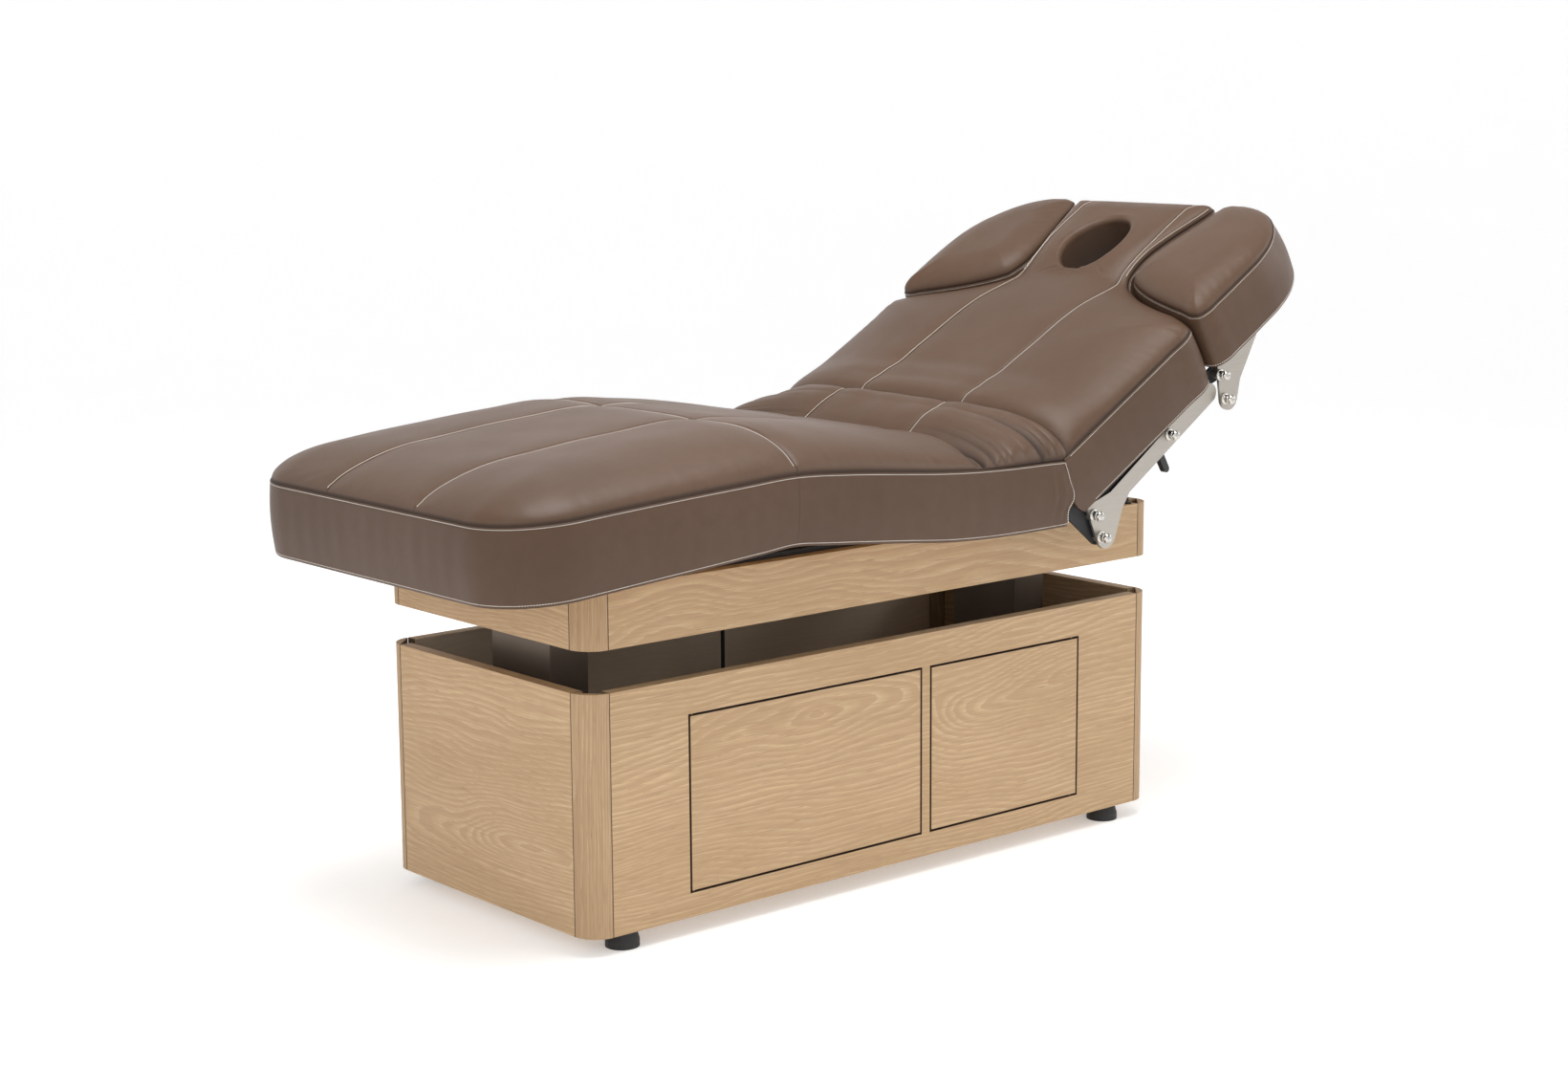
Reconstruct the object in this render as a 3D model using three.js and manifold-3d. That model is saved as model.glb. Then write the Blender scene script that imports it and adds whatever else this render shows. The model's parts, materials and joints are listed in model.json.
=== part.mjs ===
import * as THREE from 'three';
import { mergeVertices } from 'three/addons/utils/BufferGeometryUtils.js';
import Module from 'manifold-3d';

// Spa table: an oak cabinet with two doors, an upper oak frame on two lift columns, and a
// mattress in jointed sections: leg, thigh, seat, back, and a head part with two arm rests.
// Sizes are in millimetres and angles in degrees. X runs from the foot end to the head end,
// Y from the door side to the far side, Z up. The camera side with the doors is at -Y.

const wasm = await Module();
wasm.setup();

// Cabinet and upper frame
const cabinetLength = 1380;
const cabinetWidth = 610;
const cabinetHeight = 420;
const footHeight = 33;
const postSize = 46;
const panelThickness = 24;
const liftGap = 73;
const frameHeight = 105;
const jointGap = 0.3;
const grooveWidth = 1.2;
const grooveDepth = 1.5;
const overrun = 2;

// Doors
const doorSill = 43;
const doorHead = 62;
const doorInsetFoot = 212;
const doorInsetHead = 209;
const doorMullion = 20;
const doorGap = 4;
const doorThickness = 18;
const doorPegRadius = 3;
const doorPegLength = 9;
const pegClearance = 0.3;

// Cabinet inside, feet and hand block
const floorThickness = 18;
const footRadius = 30;
const footTopRadius = 24;
const footPadHeight = 12;
const footStemRadius = 5;
const footStemLength = 14;
const footInsetX = 94;
const footInsetY = 40;
const handBlockHeight = 84;
const handBlockWidth = 50;
const handBlockThickness = 12;
const handBlockRounding = 5;
const handBlockDrop = 9;
const handBlockInsetY = 48;

// Lift columns
const columnInset = 123;
const sleeveLength = 81;
const sleeveWidth = 174;
const sleeveWall = 3;
const sleeveTopPlate = 4;
const sleeveBottom = 130;
const columnDrop = 12;
const columnClearance = 0.5;
const columnFlange = 26;
const columnFlangeThickness = 6;
const cableHoleRadius = 18;
const cableHoleDrop = 92;
const cableHoleOffset = -20;

// Steel subframe inside the upper frame
const railFlange = 50;
const railHeight = 60;
const steelWall = 4;
const crossLength = 90;
const crossHeight = 17;
const midCrossCentre = 940;
const lugThickness = 5;
const lugRadius = 12;

// Control box and lift cable
const boxLength = 140;
const boxWidth = 110;
const boxHeight = 70;
const boxRounding = 8;
const boxCentreX = 733;
const boxInsetY = 6;
const cableRadius = 4;
const cableInsetY = 40;
const cableSides = 10;
const glandRadius = 9;
const glandHeight = 14;

// Mattress sections
const hemLift = 5;
const cushionHalfWidth = 416;
const skirtThickness = 16;
const sectionThickness = 122;
const legEndThickness = 128;
const hemTuck = 4;
const seamTuck = 3;
const footOverhang = 215.5;
const footCornerRadius = 132;
const thighHingeX = 796;
const thighLength = 423.6;
const thighRest = 5.6;
const thighMax = 12;
const backRest = 31;
const backMax = 60;
const backPivotX = 1015.6;
const sectionGap = 0.6;
const deckDrop = 4;
const deckThickness = 18;
const bracketReach = 40;
const mattressCrown = 63;
const seatCrown = 50;
const backCrown = 58;
const neckCrown = 28;
const crownRun = 160;
const channelY = 122;
const channelWidth = 9;
const channelDepth = 3;
const kneeChannelRun = 14;
const kneeChannelDepth = 5;

// Back section, along the slope from its pivot
const shoulderStart = 436;
const neckEnd = 557;
const neckHalfWidth = 162;
const creaseSlope = 1.4;
const hingeSlotClearance = 2;
const hingeSlotTop = 40;
const hingeSlotRun = 75;

// Head section
const headStart = 557.6;
const headEnd = 830;
const headHem = -41;
const headSeam = 73;
const headCrown = 22;
const headWaist = 144;
const headEndHalfWidth = 183;
const headCornerRadius = 22;
const headCrownRun = 60;
const holeCentreX = 657;
const holeHalfLength = 82;
const holeHalfWidth = 70;
const holeRim = 8;
const armStart = 478;
const armEnd = 835;
const armOverhang = 3;
const armInnerCorner = 26;
const armNeckX = 571;
const armInnerStart = 178;
const armInnerEnd = 220;
const armCrown = 38;
const armCrownRun = 90;
const armSkirt = 15;

// Hinge plates, side bars and bolts
const plateThickness = 5;
const plateGap = 0.3;
const deckInset = 40;
const barSpacer = 5.4;
const upperBoltX = 52;
const upperBoltZ = -93;
const lowerBoltX = 47;
const lowerBoltZ = -141;
const midBoltX = 298;
const midBoltZ = -86;
const headPivotX = 470;
const headPivotZ = -68;
const headBoltX = 459;
const headBoltZ = -117;
const boltRadius = 5;
const boltClearance = 0.3;
const washerRadius = 10;
const washerThickness = 3;
const standoffRadius = 8;
const standoffLength = 16;
const capRadius = 9;
const capLength = 6;
const capTopRadius = 5.4;
const pivotRadius = 6;
const pivotLobe = 20;
const armLobe = 16;

// Circles of the side bars and of the head plates: x, z, radius
const barHead = [434, -86, 19];
const barWaist = [150, -99, 17];
const barFlare = [110, -109, 25];
const barTopCorner = [50, -76, 6];
const barLobe = [62, -147, 26];
const plateLobe = [471, -122, 25];
const plateBulge = [503, -92, 22];
const plateTop = [640, -28, 9];
const plateHeel = [484, -50, 10];

// Piano hinges under the decks
const knuckleRadius = 5.7;
const hingePinRadius = 2.7;
const hingeInset = 30.7;
const hingeLeafLength = 40;
const hingeLeafThickness = 2;
const hingeDrop = 6;
const knuckleCount = 5;

// Gas spring of the back and actuator of the thigh section
const springBaseX = 1040;
const springBaseDrop = 103;
const springLugX = 250;
const springLugZ = -84;
const springY = 150;
const springTubeRadius = 11;
const springRodRadius = 5;
const springTubeLength = 185;
const eyeRadius = 11;
const eyeHalfWidth = 6;
const eyePinRadius = 4;
const actuatorBaseX = 856;
const actuatorBaseDrop = 75;
const actuatorLugX = -250;
const actuatorLugZ = -12;
const actuatorY = 0;
const actuatorTubeRadius = 15;
const actuatorRodRadius = 7;
const actuatorTubeLength = 230;

// Lever and rubber stops
const leverX = 285;
const leverZ = -84;
const leverInset = 24;
const leverWidth = 12;
const leverRadius = 8;
const leverTipRadius = 7;
const leverReach = 78;
const stopRadius = 7;
const stopHeight = 3;
const stopInsetX = 62;

// Facet counts
const roundSides = 24;
const boltSides = 12;
const arcSteps = 8;
const crownPower = 3.3;
const quarterTurn = 90;

// Shares along and across outlines, read from the real shape
const edgeShares = [0.25, 0.5, 0.72, 0.88, 0.97];
const footShares = [0, 0.03, 0.12, 0.3, 0.55, 0.8, 1];
const legShares = [0.2, 0.5, 0.8];
const shoulderShares = [[0, 1], [0.06, 0.965], [0.207, 0.885], [0.436, 0.709], [0.577, 0.56], [0.8, 0.44]];
const armLowerShares = [[0, 0.9, 0.95], [0.06, 0.86, 0.985], [0.18, 0.78, 0.998], [0.34, 0.68, 1],
  [0.56, 0.57, 1], [0.8, 0.475, 1]];
const armCornerShares = [0.25, 0.5, 0.7, 0.84, 0.94, 0.985];
const headWidthShares = [[0, 0.885], [0.09, 0.79], [0.23, 0.83], [0.45, 0.9], [0.7, 0.96]];
const bulgeShares = [[0.2, 0.7], [0.5, 1], [0.8, 0.75]];
const seatShares = [0, 0.3, 0.55, 0.75, 0.88, 0.96, 1];
const thighShares = [1, 0.97, 0.85, 0.6, 0.35, 0.15];
const backRollShares = [0.75, 1, 1.5, 2.2, 3.5, 5];
const headCornerShares = [0, 0.35, 0.7, 0.9, 1];
const headSeamShare = 0.25;
const largeDoorShare = 0.5683;
const armCornerWidthShare = 0.754;

// Worked out from the sizes above
const halfWidth = cabinetWidth / 2;
const innerY = halfWidth - panelThickness;
const cabinetTop = footHeight + cabinetHeight;
const doorBottom = footHeight + doorSill;
const doorTop = cabinetTop - doorHead;
const largeDoorStart = doorInsetFoot;
const smallDoorEnd = cabinetLength - doorInsetHead;
const largeDoorEnd = largeDoorStart + (smallDoorEnd - largeDoorStart) * largeDoorShare;
const smallDoorStart = largeDoorEnd + doorMullion;
const handBlockTop = cabinetTop - handBlockDrop;
const columnTop = cabinetTop - columnDrop;
const frameBottom = cabinetTop + liftGap;
const frameTop = frameBottom + frameHeight;
const hemZ = frameTop + hemLift;
const floorTop = footHeight + floorThickness;
const deckBottom = hemZ + deckDrop;
const railTop = deckBottom - jointGap;
const railBottom = railTop - railHeight;
const sleeveTop = railBottom - jointGap;
const pocketY = cushionHalfWidth - skirtThickness;
const hingeZ = deckBottom - hingeDrop;
const rollRadius = sectionThickness / 2;
const pivotZ = hemZ + rollRadius;
const kneeHeight = thighLength * Math.sin(THREE.MathUtils.degToRad(thighRest));
const legLength = thighHingeX - thighLength * Math.cos(THREE.MathUtils.degToRad(thighRest)) + footOverhang;
const legRest = THREE.MathUtils.radToDeg(Math.asin(kneeHeight / legLength));
const deckEdge = cushionHalfWidth - deckInset;
const bracketPlane = deckEdge + plateGap;
const armPlane = bracketPlane + plateThickness + plateGap;
const barPlane = armPlane + plateThickness + barSpacer;
const leverPlane = deckEdge - leverInset;
const hingeSlotNear = deckEdge - hingeSlotClearance;
const hingeSlotFar = armPlane + plateThickness + hingeSlotClearance;
const armOuter = cushionHalfWidth + armOverhang;
const armCornerRadius = (armOuter - armInnerEnd) * armCornerWidthShare;
const railOuterY = innerY - jointGap;
const railInnerY = railOuterY - railFlange;
const hingeHalfWidth = railInnerY - hingeInset;
const headPlatePlane = barPlane + plateThickness + plateGap;

const degrees = THREE.MathUtils.degToRad;
const table = new THREE.Group();
const root = new THREE.Group();
table.add(root);

// Finishes
const oak = { color: 0xc4a882, roughness: 0.6, metalness: 0 };
const plywood = { color: 0xb89a72, roughness: 0.75, metalness: 0 };
const leather = { color: 0x7c685b, roughness: 0.5, metalness: 0 };
const brushed = { color: 0xb4aca2, roughness: 0.35, metalness: 1 };
const darkSteel = { color: 0x4a4038, roughness: 0.45, metalness: 0.6 };
const frameSteel = { color: 0x2b2b2d, roughness: 0.5, metalness: 0.4 };
const blackPlastic = { color: 0x161616, roughness: 0.6, metalness: 0 };
const blackRubber = { color: 0x101010, roughness: 0.85, metalness: 0 };

// A closed geometry as a solid, with only shared corner places left
function solid(geometry) {
  const plain = new THREE.BufferGeometry();
  plain.setAttribute('position', geometry.getAttribute('position').clone());
  if (geometry.index) plain.setIndex(geometry.index.clone());
  const merged = mergeVertices(plain);
  const vertProperties = new Float32Array(merged.getAttribute('position').array);
  const triVerts = new Uint32Array(merged.index.array);
  return new wasm.Manifold(new wasm.Mesh({ numProp: 3, vertProperties, triVerts }));
}

function geometryOf(body) {
  const mesh = body.getMesh();
  const geometry = new THREE.BufferGeometry();
  geometry.setAttribute('position', new THREE.BufferAttribute(mesh.vertProperties, 3));
  geometry.setIndex(new THREE.BufferAttribute(mesh.triVerts, 1));
  geometry.computeVertexNormals();
  return geometry;
}

const join = (...bodies) => bodies.reduce((all, body) => all.add(body));
const cut = (body, ...tools) => tools.reduce((rest, tool) => rest.subtract(tool), body);

function piece(name, body, finish, group = root) {
  const mesh = new THREE.Mesh(geometryOf(body), new THREE.MeshStandardMaterial(finish));
  mesh.name = name;
  group.add(mesh);
  return mesh;
}

function block(x0, x1, y0, y1, z0, z1) {
  const box = new THREE.BoxGeometry(x1 - x0, y1 - y0, z1 - z0);
  return solid(box.translate((x0 + x1) / 2, (y0 + y1) / 2, (z0 + z1) / 2));
}

function rodY(radius, x, z, y0, y1, sides = roundSides) {
  const rod = new THREE.CylinderGeometry(radius, radius, Math.abs(y1 - y0), sides);
  return solid(rod.translate(x, (y0 + y1) / 2, z));
}

function rodZ(radius, x, y, z0, z1, sides = roundSides, topRadius = radius) {
  const rod = new THREE.CylinderGeometry(topRadius, radius, z1 - z0, sides);
  return solid(rod.rotateX(degrees(quarterTurn)).translate(x, y, (z0 + z1) / 2));
}

// A tube or rod lying along X from a centre line at (y, z)
function rodX(radius, y, z, x0, x1, sides = roundSides) {
  const rod = new THREE.CylinderGeometry(radius, radius, x1 - x0, sides);
  return solid(rod.rotateZ(degrees(quarterTurn)).translate((x0 + x1) / 2, y, z));
}

// An outline in X and Y carried up from z0 to z1
function slab(shape, z0, z1) {
  const extruded = new THREE.ExtrudeGeometry(shape, { depth: z1 - z0, bevelEnabled: false, curveSegments: arcSteps });
  return solid(extruded.translate(0, 0, z0));
}

// An outline in X and Z carried across from y0 to y1
function plate(shape, y0, y1) {
  const extruded = new THREE.ExtrudeGeometry(shape, { depth: y1 - y0, bevelEnabled: false, curveSegments: arcSteps });
  return solid(extruded.rotateX(degrees(quarterTurn)).translate(0, y1, 0));
}

// An outline in Y and Z carried along from x0 to x1
function profile(shape, x0, x1) {
  const extruded = new THREE.ExtrudeGeometry(shape, { depth: x1 - x0, bevelEnabled: false, curveSegments: arcSteps });
  const turn = new THREE.Matrix4().set(0, 0, 1, x0, 1, 0, 0, 0, 0, 1, 0, 0, 0, 0, 0, 1);
  return solid(extruded.applyMatrix4(turn));
}

function outline(points) {
  return new THREE.Shape(points.map(([x, y]) => new THREE.Vector2(x, y)));
}

// The outline of a belt round circles [x, y, r], listed anticlockwise
function belt(circles) {
  const shape = new THREE.Shape();
  const angles = circles.map(([x, y, r], i) => {
    const [nx, ny, nr] = circles[(i + 1) % circles.length];
    return Math.atan2(ny - y, nx - x) - Math.acos((r - nr) / Math.hypot(nx - x, ny - y));
  });
  circles.forEach(([x, y, r], i) => {
    const from = angles[(i + circles.length - 1) % circles.length];
    let to = angles[i];
    while (to < from) to += 2 * Math.PI;
    shape.absarc(x, y, r, from, to, false);
  });
  shape.closePath();
  return shape;
}

// A plate on one side of the table: side is -1 for the door side and +1 for the far side
function sidePlate(shape, side, inner, outer) {
  return side > 0 ? plate(shape, inner, outer) : plate(shape, -outer, -inner);
}

function sideRod(radius, x, z, side, inner, outer, sides = roundSides) {
  return rodY(radius, x, z, side * inner, side * outer, sides);
}

// Rises from 0 at a run's start to 1 at its end, steep at first
function shoulderRise(distance, run) {
  const left = THREE.MathUtils.clamp(1 - distance / run, 0, 1);
  return Math.pow(1 - Math.pow(left, crownPower), 1 / crownPower);
}

// Cushions: cross-sections lofted along X. A station gives its x, the edges left and right,
// the hem and seam heights, the crown above the seam, and how far it leans with height.
function cushionRing(station) {
  const { x, left, right, hem, seam, crown, lean = 0, channels = true } = station;
  const middle = (left + right) / 2;
  const half = (right - left) / 2;
  const inner = half - seamTuck;
  const side = bulgeShares.map(([rise, bulge]) => [half - hemTuck * (1 - bulge), hem + (seam - hem) * rise]);
  const inside = channels ? channelY + channelWidth : 0;
  const outerYs = edgeShares.map((share) => inside + (inner - inside) * share);
  const innerYs = channels ? [0, channelY / 2, channelY - channelWidth, channelY, inside] : [0];
  const ys = [...innerYs, ...outerYs];
  const top = (y) => {
    const rise = Math.pow(1 - Math.pow(Math.abs(y) / inner, crownPower), 1 / crownPower);
    const dip = channels && Math.abs(y) === channelY ? channelDepth * Math.min(1, crown / channelDepth) : 0;
    return seam + crown * rise - dip;
  };
  const ring = [[-(half - hemTuck), hem], [half - hemTuck, hem], ...side, [inner, seam]];
  [...ys].reverse().forEach((y) => ring.push([y, top(y)]));
  ys.slice(1).forEach((y) => ring.push([-y, top(y)]));
  ring.push([-inner, seam]);
  [...side].reverse().forEach(([y, z]) => ring.push([-y, z]));
  return ring.map(([y, z]) => [x + lean * z, middle + y, z]);
}

function loft(stations) {
  const rings = stations.map(cushionRing);
  const count = rings[0].length;
  const points = rings.flat();
  const faces = [];
  for (let s = 0; s + 1 < rings.length; s += 1) {
    for (let i = 0; i < count; i += 1) {
      const a = s * count + i;
      const b = s * count + (i + 1) % count;
      faces.push(a, b, b + count, a, b + count, a + count);
    }
  }
  [0, rings.length - 1].forEach((s) => {
    const ring = rings[s];
    const centre = points.length;
    points.push([0, 1, 2].map((k) => ring.reduce((sum, point) => sum + point[k], 0) / count));
    for (let i = 0; i < count; i += 1) {
      const a = s * count + i;
      const b = s * count + (i + 1) % count;
      if (s === 0) faces.push(b, a, centre);
      else faces.push(a, b, centre);
    }
  });
  const geometry = new THREE.BufferGeometry();
  geometry.setAttribute('position', new THREE.Float32BufferAttribute(points.flat(), 3));
  geometry.setIndex(faces);
  return solid(geometry);
}

// Cabinet: end panels carry the quarter-round posts, and the long panels butt between them
function quarterPost(x, y, towardX, towardY, z0, z1) {
  const shape = new THREE.Shape();
  const quarters = towardX > 0 ? (towardY > 0 ? 0 : 3) : (towardY > 0 ? 1 : 2);
  const start = quarters * quarterTurn;
  shape.moveTo(x, y);
  shape.absarc(x, y, postSize, degrees(start), degrees(start + quarterTurn), false);
  shape.closePath();
  return slab(shape, z0, z1);
}

function frameEnd(x, toward, z0, z1) {
  const centre = x - toward * postSize;
  const near = quarterPost(centre, postSize - halfWidth, toward, -1, z0, z1);
  const far = quarterPost(centre, halfWidth - postSize, toward, 1, z0, z1);
  const inside = x - toward * panelThickness;
  const spanY = halfWidth - postSize + grooveDepth;
  const panel = block(Math.min(x, inside), Math.max(x, inside), -spanY, spanY, z0, z1);
  const grooves = [-1, 1].map((side) => {
    const y = side * (halfWidth - postSize);
    const face = x + toward * grooveDepth;
    const deep = x - toward * grooveDepth;
    return block(Math.min(face, deep), Math.max(face, deep), y - grooveWidth / 2, y + grooveWidth / 2,
      z0 - overrun, z1 + overrun);
  });
  return cut(join(panel, near, far), ...grooves);
}

function longPanel(side, z0, z1) {
  const y0 = side > 0 ? innerY : -halfWidth;
  return block(postSize + jointGap, cabinetLength - postSize - jointGap, y0, y0 + panelThickness, z0, z1);
}

const doorHingeY = -halfWidth + doorThickness / 2;

function pegHoles(x) {
  const depth = doorPegLength + pegClearance;
  const radius = doorPegRadius + pegClearance;
  return [rodZ(radius, x, doorHingeY, doorBottom - depth, doorBottom + overrun, boltSides),
    rodZ(radius, x, doorHingeY, doorTop - overrun, doorTop + depth, boltSides)];
}

const largeDoorPegX = largeDoorStart + doorGap + doorThickness / 2;
const smallDoorPegX = smallDoorEnd - doorGap - doorThickness / 2;

function doorway(x0, x1) {
  return block(x0, x1, -halfWidth - overrun, -innerY + overrun, doorBottom, doorTop);
}

function door(x0, x1, pegX) {
  const leaf = block(x0 + doorGap, x1 - doorGap, -halfWidth, -halfWidth + doorThickness,
    doorBottom + doorGap, doorTop - doorGap);
  const low = rodZ(doorPegRadius, pegX, doorHingeY, doorBottom - doorPegLength, doorBottom + doorGap + overrun, boltSides);
  const high = rodZ(doorPegRadius, pegX, doorHingeY, doorTop - doorGap - overrun, doorTop + doorPegLength, boltSides);
  return join(leaf, low, high);
}

piece('cabinet_near_panel', cut(longPanel(-1, footHeight, cabinetTop), doorway(largeDoorStart, largeDoorEnd),
  doorway(smallDoorStart, smallDoorEnd), ...pegHoles(largeDoorPegX), ...pegHoles(smallDoorPegX)), oak);
piece('cabinet_far_panel', longPanel(1, footHeight, cabinetTop), oak);
piece('cabinet_foot_end', frameEnd(0, -1, footHeight, cabinetTop), oak);
piece('cabinet_head_end', frameEnd(cabinetLength, 1, footHeight, cabinetTop), oak);
piece('large_door', door(largeDoorStart, largeDoorEnd, largeDoorPegX), oak);
piece('small_door', door(smallDoorStart, smallDoorEnd, smallDoorPegX), oak);

const footPlaces = [['foot_end_near', footInsetX, -1], ['foot_end_far', footInsetX, 1],
  ['head_end_near', cabinetLength - footInsetX, -1], ['head_end_far', cabinetLength - footInsetX, 1]];

// Floor board, notched round the posts and drilled for the feet
function floorBoard() {
  const x0 = panelThickness + jointGap;
  const x1 = cabinetLength - x0;
  const y = innerY - jointGap;
  const board = block(x0, x1, -y, y, footHeight, floorTop);
  const notchX = postSize + jointGap;
  const notchY = halfWidth - postSize - jointGap;
  const notches = [-1, 1].flatMap((side) => [0, cabinetLength - notchX].map((x) => block(x, x + notchX,
    Math.min(side * notchY, side * halfWidth), Math.max(side * notchY, side * halfWidth),
    footHeight - overrun, floorTop + overrun)));
  const holes = footPlaces.map(([, x, side]) => rodZ(footStemRadius + jointGap, x, side * (halfWidth - footInsetY),
    footHeight - overrun, floorTop + overrun, boltSides));
  return cut(board, ...notches, ...holes);
}

piece('cabinet_floor', floorBoard(), plywood);

// A levelling foot: a round pad, a tapered neck and a stem in the floor board
function foot(x, y) {
  const top = footHeight - jointGap;
  const points = [[0, 0], [footRadius, 0], [footRadius, footPadHeight], [footTopRadius, top],
    [footStemRadius, top], [footStemRadius, top + footStemLength], [0, top + footStemLength]];
  const turned = new THREE.LatheGeometry(points.map(([r, z]) => new THREE.Vector2(r, z)), roundSides);
  return solid(turned.rotateX(degrees(quarterTurn)).translate(x, y, 0));
}

footPlaces.forEach(([name, x, side]) => piece(`foot_pad_${name}`, foot(x, side * (halfWidth - footInsetY)), blackRubber));

// Hand block: an oak pull on the head end, rounded on its long edges
function handBlock() {
  const y = handBlockInsetY - halfWidth;
  const z0 = handBlockTop - handBlockHeight;
  const r = handBlockRounding;
  const face = cabinetLength + jointGap;
  const outer = face + handBlockThickness;
  const shape = belt([[outer - r, y + r, r], [outer - r, y + handBlockWidth - r, r],
    [face + r, y + handBlockWidth - r, r], [face + r, y + r, r]]);
  return slab(shape, z0, handBlockTop);
}

piece('hand_block', handBlock(), oak);

// Lift columns: a fixed inner tube on a flange, and a sleeve that rises with the frame
function rectangularTube(centreX, length, width, wall, z0, z1) {
  const outside = block(centreX - length / 2, centreX + length / 2, -width / 2, width / 2, z0, z1);
  const inside = block(centreX - length / 2 + wall, centreX + length / 2 - wall, -width / 2 + wall,
    width / 2 - wall, z0 - overrun, z1 + overrun);
  return cut(outside, inside);
}

function columnTube(centreX) {
  const slack = 2 * (sleeveWall + columnClearance);
  const z0 = floorTop + jointGap;
  const tube = rectangularTube(centreX, sleeveLength - slack, sleeveWidth - slack, sleeveWall, z0, columnTop);
  const flangeX = (sleeveLength + columnFlange) / 2;
  const flangeY = (sleeveWidth + columnFlange) / 2;
  const hollowX = (sleeveLength - slack) / 2 - sleeveWall;
  const hollowY = (sleeveWidth - slack) / 2 - sleeveWall;
  const flange = block(centreX - flangeX, centreX + flangeX, -flangeY, flangeY, z0, z0 + columnFlangeThickness);
  return cut(join(tube, flange), block(centreX - hollowX, centreX + hollowX, -hollowY, hollowY,
    z0 - overrun, z0 + columnFlangeThickness + overrun));
}

function columnSleeve(centreX) {
  const sleeve = rectangularTube(centreX, sleeveLength, sleeveWidth, sleeveWall, sleeveBottom, sleeveTop);
  const lid = block(centreX - sleeveLength / 2, centreX + sleeveLength / 2, -sleeveWidth / 2, sleeveWidth / 2,
    sleeveTop - sleeveTopPlate, sleeveTop);
  return join(sleeve, lid);
}

const footColumnX = columnInset;
const headColumnX = cabinetLength - columnInset;
const cableHole = rodX(cableHoleRadius, cableHoleOffset, sleeveTop - cableHoleDrop,
  headColumnX - sleeveLength / 2 - overrun, headColumnX - sleeveLength / 2 + sleeveWall + overrun);
piece('column_tube_foot', columnTube(footColumnX), darkSteel);
piece('column_tube_head', columnTube(headColumnX), darkSteel);
piece('column_sleeve_foot', columnSleeve(footColumnX), darkSteel);
piece('column_sleeve_head', cut(columnSleeve(headColumnX), cableHole), darkSteel);

// Control box on the cabinet floor, and the cable from it to the steel rail above
const boxBackY = innerY - boxInsetY;
const cableY = innerY - cableInsetY;
const boxTop = floorTop + jointGap + boxHeight;

function controlBox() {
  const r = boxRounding;
  const x0 = boxCentreX - boxLength / 2;
  const x1 = boxCentreX + boxLength / 2;
  const y0 = boxBackY - boxWidth;
  const shape = belt([[x0 + r, y0 + r, r], [x1 - r, y0 + r, r], [x1 - r, boxBackY - r, r], [x0 + r, boxBackY - r, r]]);
  return join(slab(shape, floorTop + jointGap, boxTop),
    rodZ(glandRadius, boxCentreX, cableY, boxTop - overrun, boxTop + glandHeight, boltSides));
}

piece('control_box', controlBox(), blackPlastic);

function liftCable() {
  const low = new THREE.Vector3(boxCentreX, cableY, boxTop + glandHeight + jointGap);
  const high = new THREE.Vector3(boxCentreX, cableY, railBottom - jointGap);
  const round = new THREE.Shape().absarc(0, 0, cableRadius, 0, 2 * Math.PI, false);
  const path = new THREE.LineCurve3(low, high);
  return solid(new THREE.ExtrudeGeometry(round, { extrudePath: path, steps: 2, curveSegments: cableSides / 2 }));
}

piece('lift_cable', liftCable(), blackRubber);

// Upper frame
piece('frame_near_rail', longPanel(-1, frameBottom, frameTop), oak);
piece('frame_far_rail', longPanel(1, frameBottom, frameTop), oak);
piece('frame_foot_end', frameEnd(0, -1, frameBottom, frameTop), oak);
piece('frame_head_end', frameEnd(cabinetLength, 1, frameBottom, frameTop), oak);

// Steel subframe: a channel along each side, and three shallow channels across
function subframeRail(side) {
  const web = railOuterY - steelWall;
  const shape = outline([[railInnerY, railBottom], [railOuterY, railBottom], [railOuterY, railTop],
    [railInnerY, railTop], [railInnerY, railTop - steelWall], [web, railTop - steelWall],
    [web, railBottom + steelWall], [railInnerY, railBottom + steelWall]].map(([y, z]) => [side * y, z]));
  const postClear = postSize + jointGap;
  return profile(shape, postClear, cabinetLength - postClear);
}

function crossMember(centreX) {
  const y = railInnerY - jointGap;
  const x0 = centreX - crossLength / 2;
  const x1 = centreX + crossLength / 2;
  const bar = block(x0, x1, -y, y, railBottom, railBottom + crossHeight);
  const hollow = block(x0 + steelWall, x1 - steelWall, -y - overrun, y + overrun, railBottom - overrun,
    railBottom + crossHeight - steelWall);
  return cut(bar, hollow);
}

// Two ears with the pin between them, which carry the lower eye of a spring or an actuator
function pinEars(edgeX, toward, x, z, y) {
  const inner = eyeHalfWidth + jointGap;
  const outer = inner + lugThickness;
  const rootRadius = crossHeight / 2;
  const ear = belt([[edgeX - toward * rootRadius * 2, railBottom + rootRadius, rootRadius], [x, z, lugRadius]]);
  return join(plate(ear, y - outer, y - inner), plate(ear, y + inner, y + outer),
    rodY(eyePinRadius, x, z, y - outer, y + outer, boltSides));
}

const springBaseZ = pivotZ - springBaseDrop;
const actuatorBaseZ = hingeZ - actuatorBaseDrop;
const midCrossHead = midCrossCentre + crossLength / 2;
const midCrossFoot = midCrossCentre - crossLength / 2;
piece('subframe_rail_near', subframeRail(-1), frameSteel);
piece('subframe_rail_far', subframeRail(1), frameSteel);
piece('subframe_cross_foot', crossMember(footColumnX), frameSteel);
piece('subframe_cross_mid', join(crossMember(midCrossCentre),
  pinEars(midCrossHead, 1, springBaseX, springBaseZ, springY),
  pinEars(midCrossFoot, -1, actuatorBaseX, actuatorBaseZ, actuatorY)), frameSteel);
piece('subframe_cross_head', crossMember(headColumnX), frameSteel);

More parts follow.
